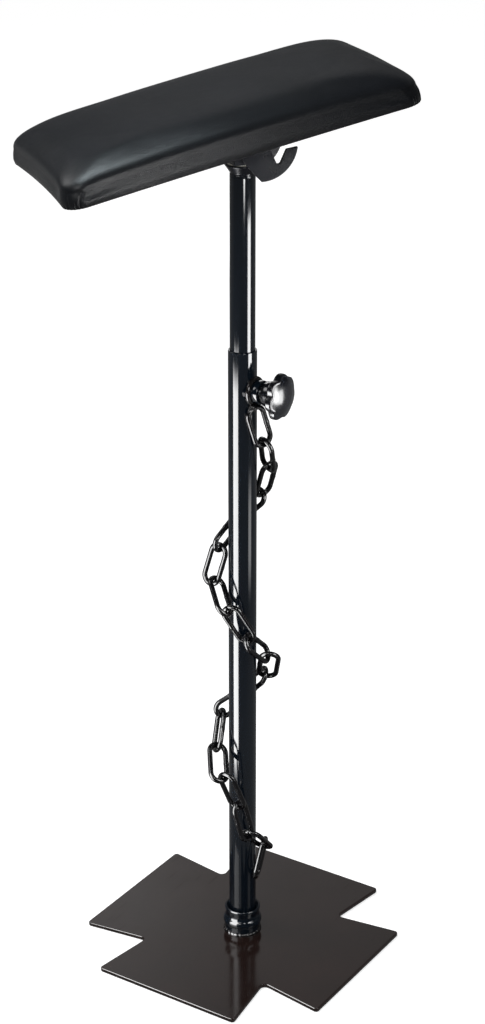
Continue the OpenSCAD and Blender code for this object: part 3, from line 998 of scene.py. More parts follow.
@dataclass
class Post:
    """The two tubes.

    Attributes:
        wall: wall of the inner tube.
        gap: gap between the tubes.
        edge: rounding of the cut ends.
    """

    wall: float = 1.5 * MM
    gap: float = 0.08 * MM
    edge: float = 0.7 * MM

    def tube(self, node: str, name: str, inner: float, body: Body) -> None:
        """A tube with softened ends.

        Args:
            node: the node that gives the outside and the ends.
            name: the new piece's name.
            inner: its inside radius.
            body: the body that it rides on.
        """
        low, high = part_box(node)
        r = high.x
        profile = softened([(inner, low.z), (r, low.z), (r, high.z), (inner, high.z)], self.edge)
        place_piece(new_object(name, revolved(profile, 192)), Slot.POST, body, [node])

    def build(self) -> None:
        """Builds both tubes."""
        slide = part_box("inner_tube")[1].x
        self.tube("outer_tube", "outer_tube_enamelled", slide + self.gap, Body.STAND)
        self.tube("inner_tube", "inner_tube_enamelled", slide - self.wall, Body.MAST)


# Clamp


@dataclass
class Clamp:
    """The boss, its weld, the screw and the star knob.

    Attributes:
        lobes: lobes of the star.
        reach: radius over the lobes.
        lobe_round: radius of a lobe.
        lobe_reach: how far the lobes stand out of the core.
        lobe_blend: power that rounds the hollows between lobes.
        turn: angle of the first lobe, in degrees.
        dome_radius: radius of the domed front.
        edge: rounding of the star's edges.
        upper_edge_share: height of the front edge's rounding, as a share of its width.
        hub_radius: radius of the hub.
        hub_length: length of the hub.
        hub_foot: the hub's free end, as pairs of a radius past the hub's and a height
            over its end.
        hub_root: its root, as pairs of a radius past the hub's and a height over the star.
        bore: radius of the screw's hole in the hub.
        bore_share: depth of that hole, as a share of the hub's length.
        boss_radius: radius of the boss.
        boss_bore: radius of the hole through the boss.
        boss_edge: rounding of its outer edge.
        boss_mouth: width and depth of the countersink in its face.
    """

    lobes: int = 7
    reach: float = 26 * MM
    lobe_round: float = 9 * MM
    lobe_reach: float = 3.2 * MM
    lobe_blend: float = 26.0
    turn: float = 73.0
    dome_radius: float = 50 * MM
    edge: float = 2.6 * MM
    upper_edge_share: float = 0.75
    hub_radius: float = 15.5 * MM
    hub_length: float = 13 * MM
    hub_foot: tuple[Pair, ...] = ((-2.2 * MM, 0.0), (-1.6 * MM, 0.4 * MM), (-0.6 * MM, 5 * MM))
    hub_root: tuple[Pair, ...] = ((0.0, -2.4 * MM), (0.5 * MM, -0.8 * MM), (1.6 * MM, -0.1 * MM))
    bore: float = 5.02 * MM
    bore_share: float = 0.9
    boss_radius: float = 13.5 * MM
    boss_bore: float = 5.05 * MM
    boss_edge: float = 1.2 * MM
    boss_mouth: Pair = (0.8 * MM, 0.6 * MM)

    def axis_matrix(self) -> Matrix:
        """Turns +Z to +X at the height of the screw."""
        height = next(j for j in frame["joints"] if j["name"] == "knob_turn")["pos_m"][2]
        return Matrix.Translation((0, 0, height)) @ Matrix.Rotation(QUARTER, 4, "Y")

    def lobed(self, a: Points, reach: float) -> Points:
        """Radius of the star at the angles a.

        A lobe's circle of radius q, centred at c from the middle, reaches
        c cos d + sqrt(q^2 - c^2 sin^2 d) at the angle d from the lobe. The star is the
        rounded maximum of that and its core: (core^p + lobe^p)^(1/p), scaled to the reach.

        Args:
            a: angles round the star.
            reach: radius over the lobes.

        Returns:
            The radius at each angle.
        """
        pitch = TAU / self.lobes
        d = (a - math.radians(self.turn) + pitch / 2) % pitch - pitch / 2
        c = reach - self.lobe_round
        lobe = c * np.cos(d) + np.sqrt(np.maximum(self.lobe_round ** 2 - (c * np.sin(d)) ** 2, 0))
        p = self.lobe_blend
        shape = ((reach - self.lobe_reach) ** p + lobe ** p) ** (1 / p)
        return shape * reach / shape.max()

    def star(self) -> None:
        """The star knob, as rings from its bore to the top of its dome.

        Both edges are quarter rounds. On the front a ring at the share t of the way out
        has the radius t ((1 - t) m + t s), where s is the star's radius and m its least
        one, and its height follows the dome: front - (R - sqrt(R^2 - r^2)).
        """
        low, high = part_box("star_knob")
        back, front = low.x, high.x
        face = back + self.hub_length
        a = np.linspace(0, TAU, 336, endpoint=False)
        outline = self.lobed(a, self.reach)

        def dome(r: Points) -> Points:
            """Height of the domed front at the radius r."""
            return front - (self.dome_radius - np.sqrt(self.dome_radius ** 2 - r ** 2))

        floor = back + self.hub_length * self.bore_share
        hub = [(self.bore, floor), (self.bore, back)]
        hub += [(self.hub_radius + r, back + h) for r, h in self.hub_foot]
        hub += [(self.hub_radius + r, face + h) for r, h in self.hub_root]
        rings = [(np.full_like(a, r), np.full_like(a, h)) for r, h in hub]
        e = self.edge
        for q in np.linspace(0, QUARTER, 7):
            rings.append((outline - e * (1 - math.sin(q)), np.full_like(a, face + e * (1 - math.cos(q)))))
        within = outline - e
        for q in np.linspace(0, QUARTER, 12):
            fall = e * self.upper_edge_share * (1 - math.sin(q))
            rings.append((outline - e * (1 - math.cos(q)), dome(within) - fall))
        for t in np.linspace(0.94, 0.04, 22):
            r = t * ((1 - t) * within.min() + t * within)
            rings.append((r, dome(r)))
        points = np.vstack([np.stack([r * np.cos(a), r * np.sin(a), h], -1) for r, h in rings])
        n, count = len(a), len(rings)
        faces = grid_faces(count, n, False, True)
        last, tip = (count - 1) * n, len(points)
        points = np.vstack([points, [[0, 0, front], [0, 0, floor]]])
        faces += [(tip, last + i, last + (i + 1) % n) for i in range(n)]
        faces += [(tip + 1, (i + 1) % n, i) for i in range(n)]
        surface = Surface(points, faces).moved(self.axis_matrix())
        place_piece(new_object("star_knob_moulded", surface), Slot.KNOB, Body.KNOB, ["star_knob"])

    def boss(self) -> None:
        """The boss: a drilled bar whose inner end follows the tube, with a softened face."""
        _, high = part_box("knob_boss")
        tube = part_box("outer_tube")[1].x
        a = np.linspace(0, TAU, 128, endpoint=False)
        face = high.x

        def saddle(r: float) -> Points:
            """The ring of radius r that lies on the tube."""
            return np.stack([r * np.cos(a), r * np.sin(a), np.sqrt(tube ** 2 - (r * np.sin(a)) ** 2)], -1)

        def level(r: float, x: float) -> Points:
            """The flat ring of radius r at distance x."""
            return np.stack([r * np.cos(a), r * np.sin(a), np.full_like(a, x)], -1)

        e = self.boss_edge
        wide, deep = self.boss_mouth
        rings = [saddle(self.boss_bore), saddle(self.boss_radius)]
        for q in np.linspace(0, QUARTER, 6):
            rings.append(level(self.boss_radius - e * (1 - math.cos(q)), face - e + e * math.sin(q)))
        rings += [level(self.boss_bore + wide, face), level(self.boss_bore, face - deep)]
        surface = Surface(np.vstack(rings), grid_faces(len(rings), len(a), True, True))
        obj = new_object("knob_boss_turned", surface.moved(self.axis_matrix()))
        place_piece(obj, Slot.POST, Body.STAND, ["knob_boss"])

    def build(self) -> None:
        """Builds the clamp."""
        self.star()
        self.boss()
        bead = dressed_copy("boss_weld", "boss_weld_bead", sharp=WELD_SHARP)
        place_piece(bead, Slot.WELD, Body.STAND, ["boss_weld"])
        place_piece(dressed_copy("clamp_screw", "clamp_screw_turned"), Slot.ZINC, Body.KNOB, ["clamp_screw"])


# Chain


@dataclass
class Chain:
    """The hung chain: every link is a bent and welded wire.

    Attributes:
        bend_steps: steps round each bow.
        straight_steps: steps along each straight.
        seam_swell: how much the butt weld swells the wire.
        seam_length: half length of that swelling.
        turned_each: one link in this many has its weld on the other side.
    """

    bend_steps: int = 26
    straight_steps: int = 16
    seam_swell: float = 0.11
    seam_length: float = 1.7 * MM
    turned_each: int = 3

    def link(self, node: str, turned: bool) -> Surface:
        """One link, placed as its node is.

        The node's own axes come from the spread of its points: longest along the link,
        then across it, then square to its plane.

        Args:
            node: the link's node.
            turned: whether its weld is on the other side.

        Returns:
            The closed tube.
        """
        points = node_points(node)
        middle = points.mean(0)
        _, _, axes = np.linalg.svd(points - middle, full_matrices=False)
        local = (points - middle) @ axes.T
        low, high = local.min(0), local.max(0)
        centre = middle + ((low + high) / 2) @ axes
        length, width, wire = high - low
        bow = (width - wire) / 2
        half = (length - width) / 2
        a = np.linspace(0, math.pi, self.bend_steps, endpoint=False)
        s = np.linspace(half, -half, self.straight_steps, endpoint=False)
        upper = np.stack([half + bow * np.sin(a), bow * np.cos(a)], -1)
        left = np.stack([s, np.full_like(s, -bow)], -1)
        flat = np.vstack([upper, left, -upper, -left])
        path = centre + flat[:, :1] * axes[0] + flat[:, 1:] * axes[1]
        leg = bow if turned else -bow
        near = np.exp(-((flat[:, 0] / self.seam_length) ** 2)) * np.isclose(flat[:, 1], leg)
        radius = wire / 2 * (1 + self.seam_swell * near)
        return swept(path, axes[2], radius)

    def build(self) -> None:
        """Builds every link on its own body."""
        bodies = frame["record"]["behaviour"]["bodies"]
        names = sorted(n for n in frame["nodes"] if n.startswith("chain_link_"))
        for index, node in enumerate(names):
            body = Body.CHAIN_END if node in bodies[Body.CHAIN_END.value] else Body.STAND
            obj = new_object(node + "_dipped", self.link(node, index % self.turned_each == 0))
            place_piece(obj, Slot.CHAIN, body, [node])
        bead = dressed_copy("chain_weld", "chain_weld_bead", sharp=WELD_SHARP)
        place_piece(bead, Slot.WELD, Body.STAND, ["chain_weld"])


# Head


@dataclass
class Head:
    """Collar, washer, yoke and the half-moon bracket that tilts on it.

    Attributes:
        edge: rounding of the collar's edges.
        bore: radius of the hole through the collar.
        neck: height of the collar's straight neck.
        rim: height of its rim.
        bevels: the pieces that keep their own mesh: each one's node, finish and body, and
            the width of its rounded edges.
    """

    edge: float = 0.6 * MM
    bore: float = 5.05 * MM
    neck: float = 2 * MM
    rim: float = 1.5 * MM
    bevels: tuple[tuple[str, Slot, Body, float], ...] = (
        ("thrust_washer", Slot.WASHER, Body.MAST, 0.2 * MM), ("yoke", Slot.HEAD, Body.HEAD, 0.5 * MM),
        ("tilt_bracket", Slot.HEAD, Body.PAD, 0.6 * MM), ("tilt_bolt", Slot.HEAD, Body.PAD, 0.3 * MM),
        ("tilt_washers", Slot.WASHER, Body.PAD, 0.15 * MM), ("tilt_nut", Slot.ZINC, Body.PAD, 0.4 * MM),
        ("mount_plate", Slot.HEAD, Body.PAD, 0.5 * MM), ("bracket_weld", Slot.WELD, Body.PAD, 0.0),
        ("pad_screws", Slot.ZINC, Body.PAD, 0.2 * MM),
    )

    def collar(self) -> None:
        """The flared collar, turned with softened edges."""
        low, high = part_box("head_collar")
        r, tube = high.x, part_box("inner_tube")[1].x
        z0, z1 = low.z, high.z
        profile = [(self.bore, z0), (tube, z0), (tube, z0 + self.neck),
                   (r, z1 - self.rim), (r, z1), (self.bore, z1)]
        obj = new_object("head_collar_turned", revolved(softened(profile, self.edge), 128))
        place_piece(obj, Slot.HEAD, Body.MAST, ["head_collar"])

    def build(self) -> None:
        """Builds the head's pieces."""
        self.collar()
        for node, slot, body, bevel in self.bevels:
            place_piece(dressed_copy(node, node + "_finished", bevel), slot, body, [node])


# Pad


@dataclass
class ArmPad:
    """The padded rest: leatherette drawn over foam and turned in under a board.

    The cover is a grid. Its columns run round the pad, from 0 to 4: a side takes the first
    half of each unit and the corner after it the second half. Its rows run from the hem
    under the board, up the side and over the shoulder, to the middle of the crown.

    Attributes:
        lean: rest angle of the pad, in degrees.
        along: heading of the pad's length, in degrees.
        length: length of the pad.
        width: width of the pad.
        height: height of its crown.
        shift: place of its middle along its length, from the tilt bolt.
        under: height of its underside over the tilt bolt.
        side: height of the upright side.
        side_swell: how far that side stands out at half its height.
        corner: radius of its corners at the foot.
        corner_growth: how much the corner radius grows for each metre of inset.
        shoulder_corner: added corner radius at the top of the side.
        corner_share: largest corner radius, as a share of half the ring's width.
        drawn: how far the sides are drawn in between the corners.
        corner_drop: how far the shoulder comes down at the corners.
        drop_length: how far from a corner that drop has halved.
        hem: how far the cover is turned in under the board.
        hem_thick: thickness of the hem.
        foot_round: rounding of the lower edge.
        crown_spacing: power that sets the crown's rows closer at its shoulder.
        crown_share: how far in the last row lies, as a share of half the width.
        crown_power: power that flattens the crown.
        shoulder_power: power that fills the shoulder.
        swell: most that the cover may move in the simulation.
        held_height: height up to which the simulation holds the cover.
        frames: how many frames the simulation runs.
        pressure: its pressure.
        creases: gathers in each corner.
        crease_depth: depth of a gather.
        crease_height: height that the longest gather reaches.
        hem_share: depth of a gather under the pad, as a share of its depth on the side.
    """

    lean: float = 12.0
    along: float = 53.0
    length: float = 389 * MM
    width: float = 225 * MM
    height: float = 48 * MM
    shift: float = -41.5 * MM
    under: float = 21 * MM
    side: float = 20 * MM
    side_swell: float = 0.8 * MM
    corner: float = 20 * MM
    corner_growth: float = 0.85
    shoulder_corner: float = 4 * MM
    corner_share: float = 0.96
    drawn: float = 3 * MM
    corner_drop: float = 3 * MM
    drop_length: float = 40 * MM
    hem: float = 24 * MM
    hem_thick: float = 1.1 * MM
    foot_round: float = 1.4 * MM
    crown_spacing: float = 2.2
    crown_share: float = 0.985
    crown_power: float = 2.15
    shoulder_power: float = 2.8
    swell: float = 2.2 * MM
    held_height: float = 2.5 * MM
    frames: int = 16
    pressure: float = 4.0
    creases: int = 6
    crease_depth: float = 1.4 * MM
    crease_height: float = 19 * MM
    hem_share: float = 0.45

    def matrix(self) -> Matrix:
        """Places the pad's own frame, whose origin is the middle of its underside."""
        tilt = next(j for j in frame["joints"] if j["name"] == "pad_tilt")
        base = Matrix.Translation(tilt["pos_m"]) @ Matrix.Rotation(math.radians(self.along), 4, "Z")
        leaned = base @ Matrix.Rotation(-math.radians(self.lean), 4, "Y")
        return leaned @ Matrix.Translation((self.shift, 0, self.under))

    def profile(self, v: Points) -> tuple[Points, Points]:
        """Inset and height of the cover's rows.

        Rows 0 to 1 run out along the underside, 1 to 2 round the lower edge, 2 to 3 up
        the side and 3 to 4 over the crown, where the height is
        s + (h - s) (1 - (1 - q)^p)^(1/m) at a share q of the half width.

        Args:
            v: the rows' parameters, 0 to 4.

        Returns:
            The insets and the heights.
        """
        half = self.width / 2
        r = self.foot_round
        under = np.clip(v, 0, 1)
        round_ = np.clip(v - 1, 0, 1) * QUARTER
        rise = np.clip(v - 2, 0, 1)
        crown = np.clip(v - 3, 0, 1) ** self.crown_spacing
        inset = np.where(v < 1, self.hem + (r - self.hem) * under, r * (1 - np.sin(round_)))
        inset = np.where(v > 2, -self.side_swell * np.sin(math.pi * rise), inset)
        inset = np.where(v > 3, half * self.crown_share * crown, inset)
        height = np.where(v < 1, 0.0, r * (1 - np.cos(round_)))
        height = np.where(v > 2, r + (self.side - r) * rise, height)
        dome = (1 - (1 - crown) ** self.crown_power) ** (1 / self.shoulder_power)
        height = np.where(v > 3, self.side + (self.height - self.side) * dome, height)
        return inset, height

    def form(self, v: Points, u: Points) -> Points:
        """The grid of points at the rows v and the columns u.

        A ring is a rectangle with corners of radius r, which grows up the side and with
        the inset. A side point at a share s of its side moves inwards by 4 d s (1 - s),
        where d is the draw, which halves up the side and fades over the crown. Towards
        the corners the shoulder comes down by c sin(pi z / h) / (1 + (distance / length)^2).

        Args:
            v: the rows' parameters.
            u: the columns' parameters.

        Returns:
            An array of rows by columns by 3.
        """
        inset, height = self.profile(v)
        x = (self.length / 2 - inset)[:, None]
        y = (self.width / 2 - inset)[:, None]
        raised = np.clip(height / self.side, 0, 1)
        r = self.corner + self.shoulder_corner * raised ** 2
        r = r + self.corner_growth * np.maximum(inset * (v > 2), 0)
        r = np.minimum(r[:, None], y * self.corner_share)
        pull = (self.drawn * (1 - 0.5 * raised) * (1 - np.clip(v - 3, 0, 1)))[:, None]
        k = np.floor(u).astype(int) % 4
        s = np.clip((u % 1) / 0.5, 0, 1)
        t = np.clip((u % 1 - 0.5) / 0.5, 0, 1)
        # Each side's start and end in units of the ring's half sizes, and the way it runs
        starts = np.array([(1, -1), (1, 1), (-1, 1), (-1, -1)])
        runs = np.array([(0, 1), (-1, 0), (0, -1), (1, 0)])[k]
        ends = np.roll(starts, -1, 0)[k]
        starts = starts[k]
        span = 2 * (np.abs(runs[:, 0]) * (x - r) + np.abs(runs[:, 1]) * (y - r))
        first_x = starts[:, 0] * (x - np.abs(runs[:, 0]) * r)
        first_y = starts[:, 1] * (y - np.abs(runs[:, 1]) * r)
        bow = pull * 4 * s * (1 - s)
        side_x = first_x + runs[:, 0] * span * s - runs[:, 1] * bow
        side_y = first_y + runs[:, 1] * span * s + runs[:, 0] * bow
        a = (k + t) * QUARTER
        turn_x = ends[:, 0] * (x - r) + r * np.cos(a)
        turn_y = ends[:, 1] * (y - r) + r * np.sin(a)
        corner = (u % 1 >= 0.5)[None]
        flat_x, flat_y = np.where(corner, turn_x, side_x), np.where(corner, turn_y, side_y)
        near = np.where(corner, 0.0, np.minimum(s, 1 - s) * span)
        drop = self.corner_drop / (1 + (near / self.drop_length) ** 2)
        lowered = height[:, None] - drop * np.sin(math.pi * height / self.height)[:, None]
        return np.stack([flat_x, flat_y, lowered], -1)

    @staticmethod
    def rows(*counts: int) -> Points:
        """The rows' parameters, with a count of steps for each stretch from the hem to the crown."""
        starts = [k + np.arange(steps) / steps for k, steps in enumerate(counts)]
        return np.append(np.concatenate(starts), len(counts))

    @staticmethod
    def columns(long_steps: int, short_steps: int, corner_steps: int) -> Points:
        """The columns' parameters, spread evenly over each side and each corner.

        Args:
            long_steps: steps along each long side.
            short_steps: steps along each short side.
            corner_steps: steps round each corner.

        Returns:
            The parameters, from 0 up to 4.
        """
        parts = []
        for k, steps in enumerate((short_steps, long_steps, short_steps, long_steps)):
            parts.append(k + 0.5 * np.arange(steps) / steps)
            parts.append(k + 0.5 + 0.5 * np.arange(corner_steps) / corner_steps)
        return np.concatenate(parts)

    def closed(self, grid: Points) -> Surface:
        """Closes the grid with a sheet inside the hem and a fan over the crown's middle.

        Args:
            grid: the cover's points, by rows and columns.

        Returns:
            The closed cover.
        """
        rows, count = grid.shape[:2]
        inner = grid[0].copy()
        inner[:, 2] = self.hem_thick
        top = grid[-1, :, 2].mean()
        points = np.vstack([inner, grid.reshape(-1, 3), [[0, 0, self.hem_thick], [0, 0, top]]])
        faces = grid_faces(rows + 1, count, False, True)
        last, middle = rows * count, len(points) - 2
        faces += [(middle, (i + 1) % count, i) for i in range(count)]
        faces += [(middle + 1, last + i, last + (i + 1) % count) for i in range(count)]
        return Surface(points, faces)

    def swollen(self, v: Points, u: Points) -> Points:
        """Simulates the cover as cloth under pressure.

        A move of the size d is capped smoothly at the swell w: it becomes w tanh(d / w).

        Args:
            v: the rows' parameters.
            u: the columns' parameters.

        Returns:
            How each point of the grid moves, by rows and columns.
        """
        surface = self.closed(self.form(v, u))
        obj = new_object("cover_trial", surface)
        count = len(surface.points)
        held = surface.points[:, 2] < self.held_height
        obj.vertex_groups.new(name="held").add(np.nonzero(held)[0].tolist(), 1.0, "REPLACE")
        cloth = obj.modifiers.new("cover", "CLOTH")
        cloth.settings.use_pressure = True
        cloth.settings.uniform_pressure_force = self.pressure
        cloth.settings.vertex_group_mass = "held"
        cloth.settings.tension_stiffness = 25
        cloth.settings.compression_stiffness = 8
        cloth.settings.bending_stiffness = 1.2
        cloth.settings.effector_weights.gravity = 0.0
        cloth.point_cache.frame_start, cloth.point_cache.frame_end = 1, self.frames
        scene = bpy.context.scene
        for number in range(1, self.frames + 1):
            scene.frame_set(number)
        shown = obj.evaluated_get(bpy.context.evaluated_depsgraph_get()).data
        moved = np.empty(count * 3)
        shown.vertices.foreach_get("co", moved)
        scene.frame_set(1)
        bpy.data.objects.remove(obj)
        step = moved.reshape(-1, 3) - surface.points
        size = np.linalg.norm(step, axis=1, keepdims=True)
        LOG.info("cover moved %.2f mm at most", size.max() / MM)
        step *= np.tanh(size / self.swell) * self.swell / np.maximum(size, TINY)
        step[held] = 0
        return step[len(u):-2].reshape(len(v), len(u), 3)

    @staticmethod
    def spread(move: Points, v: Points, u: Points, fine_v: Points, fine_u: Points, passes: int = 6) -> Points:
        """Carries a coarse grid's moves to a finer one by two linear interpolations.

        The result is then averaged over a few neighbours each way, so that no facet of
        the coarse grid shows in the gloss.

        Args:
            move: the moves of the coarse grid's points.
            v: the coarse rows' parameters.
            u: the coarse columns' parameters.
            fine_v: the fine rows' parameters.
            fine_u: the fine columns' parameters.
            passes: how often the result is averaged.

        Returns:
            The moves of the fine grid's points.
        """
        loop = np.concatenate([u, [4.0]])
        wide = np.concatenate([move, move[:, :1]], 1)
        across = np.apply_along_axis(lambda row: np.interp(fine_u, loop, row), 1, wide)
        out = np.apply_along_axis(lambda column: np.interp(fine_v, v, column), 0, across)
        for _ in range(passes):
            out = (np.roll(out, 2, 1) + np.roll(out, -2, 1) + 2 * out) / 4
            padded = np.concatenate([out[:1], out, out[-1:]])
            out = (padded[:-2] + padded[2:] + 2 * out) / 4
        return out

    @staticmethod
    def eased(grid: Points, v: Points, passes: int = 22, stride: int = 3) -> Points:
        """Eases the crown, so that foam under tension shows no line where a corner ends.

        Each pass moves a point up to halfway to the middle of two neighbours of its ring:
        not at all at the top of the side, and halfway from a fifth of the way in.

        Args:
            grid: the cover's points.
            v: the rows' parameters.
            passes: how many passes.
            stride: how many columns away the neighbours lie.

        Returns:
            The eased points.
        """
        halfway, fifth = 0.5, 0.2
        weight = halfway * np.clip((v - 3.0) / fifth, 0, 1)[:, None, None]
        out = grid.copy()
        for _ in range(passes):
            out += weight * ((np.roll(out, stride, 1) + np.roll(out, -stride, 1)) / 2 - out)
        return out

    def gathered(self, grid: Points, v: Points, u: Points) -> Points:
        """Gathers the cover into pleats at the corners.

        At a share t of a corner and the height z, a point moves inwards by
        A g (1 - z / H(t))^0.8, where g is 1 in the narrow valleys between pleats and 0 on
        their rounded backs. Sine waves of t and of the pleat's number keep the pleats
        from being evenly spaced and equally tall.

        Args:
            grid: the cover's points.
            v: the rows' parameters.
            u: the columns' parameters.

        Returns:
            The gathered points.
        """
        fade, narrow, wander, lowest, taper = 6, 2.2, 0.35, 0.62, 0.8
        out = grid.copy()
        k = np.floor(u).astype(int) % 4
        t = np.clip((u % 1 - 0.5) / 0.5, 0, 1)
        inside = (u % 1 >= 0.5) * np.clip(fade * t, 0, 1) * np.clip(fade * (1 - t), 0, 1)
        phase = t * self.creases + wander * np.sin(5 * t + 1.7 * k)
        valley = (0.5 + 0.5 * np.cos(TAU * phase)) ** narrow
        tall = lowest + (1 - lowest) * np.sin(2.4 * np.round(phase) + 1.3 * k)
        z = grid[:, :, 2]
        reach = np.clip(1 - z / (self.crease_height * tall)[None], 0, 1) ** taper
        hem = np.where(v <= 2.0, self.hem_share, 1.0)[:, None]
        push = self.crease_depth * valley[None] * inside[None] * reach * hem
        a = (k + t) * QUARTER
        out[:, :, 0] -= push * np.cos(a)
        out[:, :, 1] -= push * np.sin(a)
        return out

    def build(self) -> None:
        """Builds the cover: formed, swollen, eased, gathered and placed."""
        fine_v = self.rows(8, 7, 22, 55)
        fine_u = self.columns(long_steps=150, short_steps=84, corner_steps=60)
        grid = self.form(fine_v, fine_u)
        v = np.concatenate([self.rows(3, 2)[:-1], [2.0, 2.33, 2.66], np.linspace(3, 4, 20)])
        u = self.columns(long_steps=44, short_steps=26, corner_steps=6)
        grid = grid + self.spread(self.swollen(v, u), v, u, fine_v, fine_u)
        surface = self.closed(self.gathered(self.eased(grid, fine_v), fine_v, fine_u))
        obj = new_object("arm_pad_cover", surface.moved(self.matrix()))
        place_piece(obj, Slot.LEATHER, Body.PAD, ["pad_cover", "pad_foam"])


# Stage


def panel(name: str, outline: Sequence[Sequence[float]]) -> tuple[bpy.types.Object, Tree]:
    """A four-cornered sheet of the stage, with a UV map that runs from 0 to 1 each way.

    Args:
        name: the sheet's name.
        outline: its corners.

    Returns:
        The sheet and the empty node tree of its material.
    """
    mesh = bpy.data.meshes.new(name)
    mesh.from_pydata(outline, [], [(0, 1, 2, 3)])
    mesh.uv_layers.new(name="sheet").data.foreach_set("uv", [0, 0, 1, 0, 1, 1, 0, 1])
    mesh.materials.append(bpy.data.materials.new(name))
    sheet = put(name, mesh)
    return sheet, cleared(mesh.materials[0])


def receivers(light: str, piece: str, state: str) -> bpy.types.Collection:
    """The collection that links a light to one piece, or keeps it off that piece.

    Args:
        light: the light's name.
        piece: the piece's name.
        state: INCLUDE to light this piece alone, or EXCLUDE to light all but this one.

    Returns:
        The collection.
    """
    linked = bpy.data.collections.new(light + " receivers")
    linked.objects.link(bpy.data.objects[piece])
    linked.collection_objects[0].light_linking.link_state = state
    return linked


def by_ray(tree: Tree, eye: Node, gloss: Node, other: Node) -> Node:
    """Shows one shader to the eye, one in gloss and glass, and one to all other light.

    Args:
        tree: the node tree.
        eye: the shader that the camera sees.
        gloss: the shader that shows in gloss and glass.
        other: the shader that gives and takes all other light.

    Returns:
        The shader that switches between them.
    """
    path = add(tree, "ShaderNodeLightPath")
    mirror = add(tree, "ShaderNodeMath", {
        0: path.outputs["Is Glossy Ray"], 1: path.outputs["Is Transmission Ray"]}, operation="MAXIMUM")
    mirrored = add(tree, "ShaderNodeMixShader", {0: mirror, 1: other, 2: gloss})
    return add(tree, "ShaderNodeMixShader", {0: path.outputs["Is Camera Ray"], 1: mirrored, 2: eye})


@dataclass(frozen=True)
class Lamp:
    """A soft box that the camera doesn't see.

    Attributes:
        name: the lamp's name.
        place: its middle.
        aim: the point that it faces.
        size: its width and height.
        power: its power in watts.
        colour: its linear colour.
        only: the one piece that it lights, if it doesn't light them all.
    """

    name: str
    place: Triple
    aim: Triple
    size: Pair
    power: float
    colour: Triple = (1.0, 1.0, 1.0)
    only: str = ""

    def build(self) -> None:
        """Adds the lamp."""
        data = bpy.data.lights.new(self.name, "AREA")
        data.shape, data.energy, data.color = "RECTANGLE", self.power, self.colour
        data.size, data.size_y = self.size
        obj = put(self.name, data)
        obj.location = self.place
        obj.rotation_euler = (Vector(self.aim) - Vector(self.place)).to_track_quat("-Z", "Y").to_euler()
        obj.visible_camera = False
        if self.only:
            obj.light_linking.receiver_collection = receivers(self.name, self.only, "INCLUDE")


@dataclass(frozen=True)
class Card:
    """An upright white card beside the post that only shows in gloss.

    It is a strip whose brightness fades at its ends and, a little, at its sides.

    Attributes:
        name: the card's name.
        turn: its heading from the post, in degrees.
        reach: its distance from the post's axis.
        spread: the angle that its width takes up, in degrees.
        low: height of its lower end.
        high: height of its upper end.
        level: its brightness, where 1 is white.
        fade: share of its height over which each end fades.
        side_fade: share of its width over which each side fades.
        spared: the one piece whose gloss it doesn't show in, if there is one.
    """

    name: str
    turn: float
    reach: float
    spread: float
    low: float
    high: float
    level: float
    fade: float = 0.06
    side_fade: float = 0.08
    spared: str = ""

    def outline(self) -> list[Triple]:
        """The card's corners: its half width is the reach times tan of half its spread."""
        a, half = math.radians(self.turn), self.reach * math.tan(math.radians(self.spread / 2))
        x, y = self.reach * math.cos(a), self.reach * math.sin(a)
        dx, dy = -half * math.sin(a), half * math.cos(a)
        return [(x - dx, y - dy, self.low), (x + dx, y + dy, self.low),
                (x + dx, y + dy, self.high), (x - dx, y - dy, self.high)]

    def build(self) -> None:
        """Adds the card, whose shader is a glow through which all light passes."""
        sheet, tree = panel(self.name, self.outline())
        sheet.visible_camera = sheet.visible_diffuse = False
        sheet.visible_shadow = sheet.visible_transmission = False
        place = add(tree, "ShaderNodeSeparateXYZ", {0: add(tree, "ShaderNodeUVMap", uv_map="sheet")})
        sides, ends = [add(tree, "ShaderNodeValToRGB", {"Fac": place.outputs[axis]},
                           [(0.0, 0.0), (fade, 1.0), (1 - fade, 1.0), (1.0, 0.0)])
                       for axis, fade in (("X", self.side_fade), ("Y", self.fade))]
        both = add(tree, "ShaderNodeMath", {0: ends, 1: sides}, operation="MULTIPLY")
        strength = add(tree, "ShaderNodeMath", {0: both, 1: self.level}, operation="MULTIPLY")
        glow = add(tree, "ShaderNodeEmission", {"Color": WHITE, "Strength": strength})
        total = add(tree, "ShaderNodeAddShader", {0: glow, 1: add(tree, "ShaderNodeBsdfTransparent")})
        add(tree, "ShaderNodeOutputMaterial", {"Surface": total})
        if self.spared:
            sheet.light_linking.receiver_collection = receivers(self.name, self.spared, "EXCLUDE")


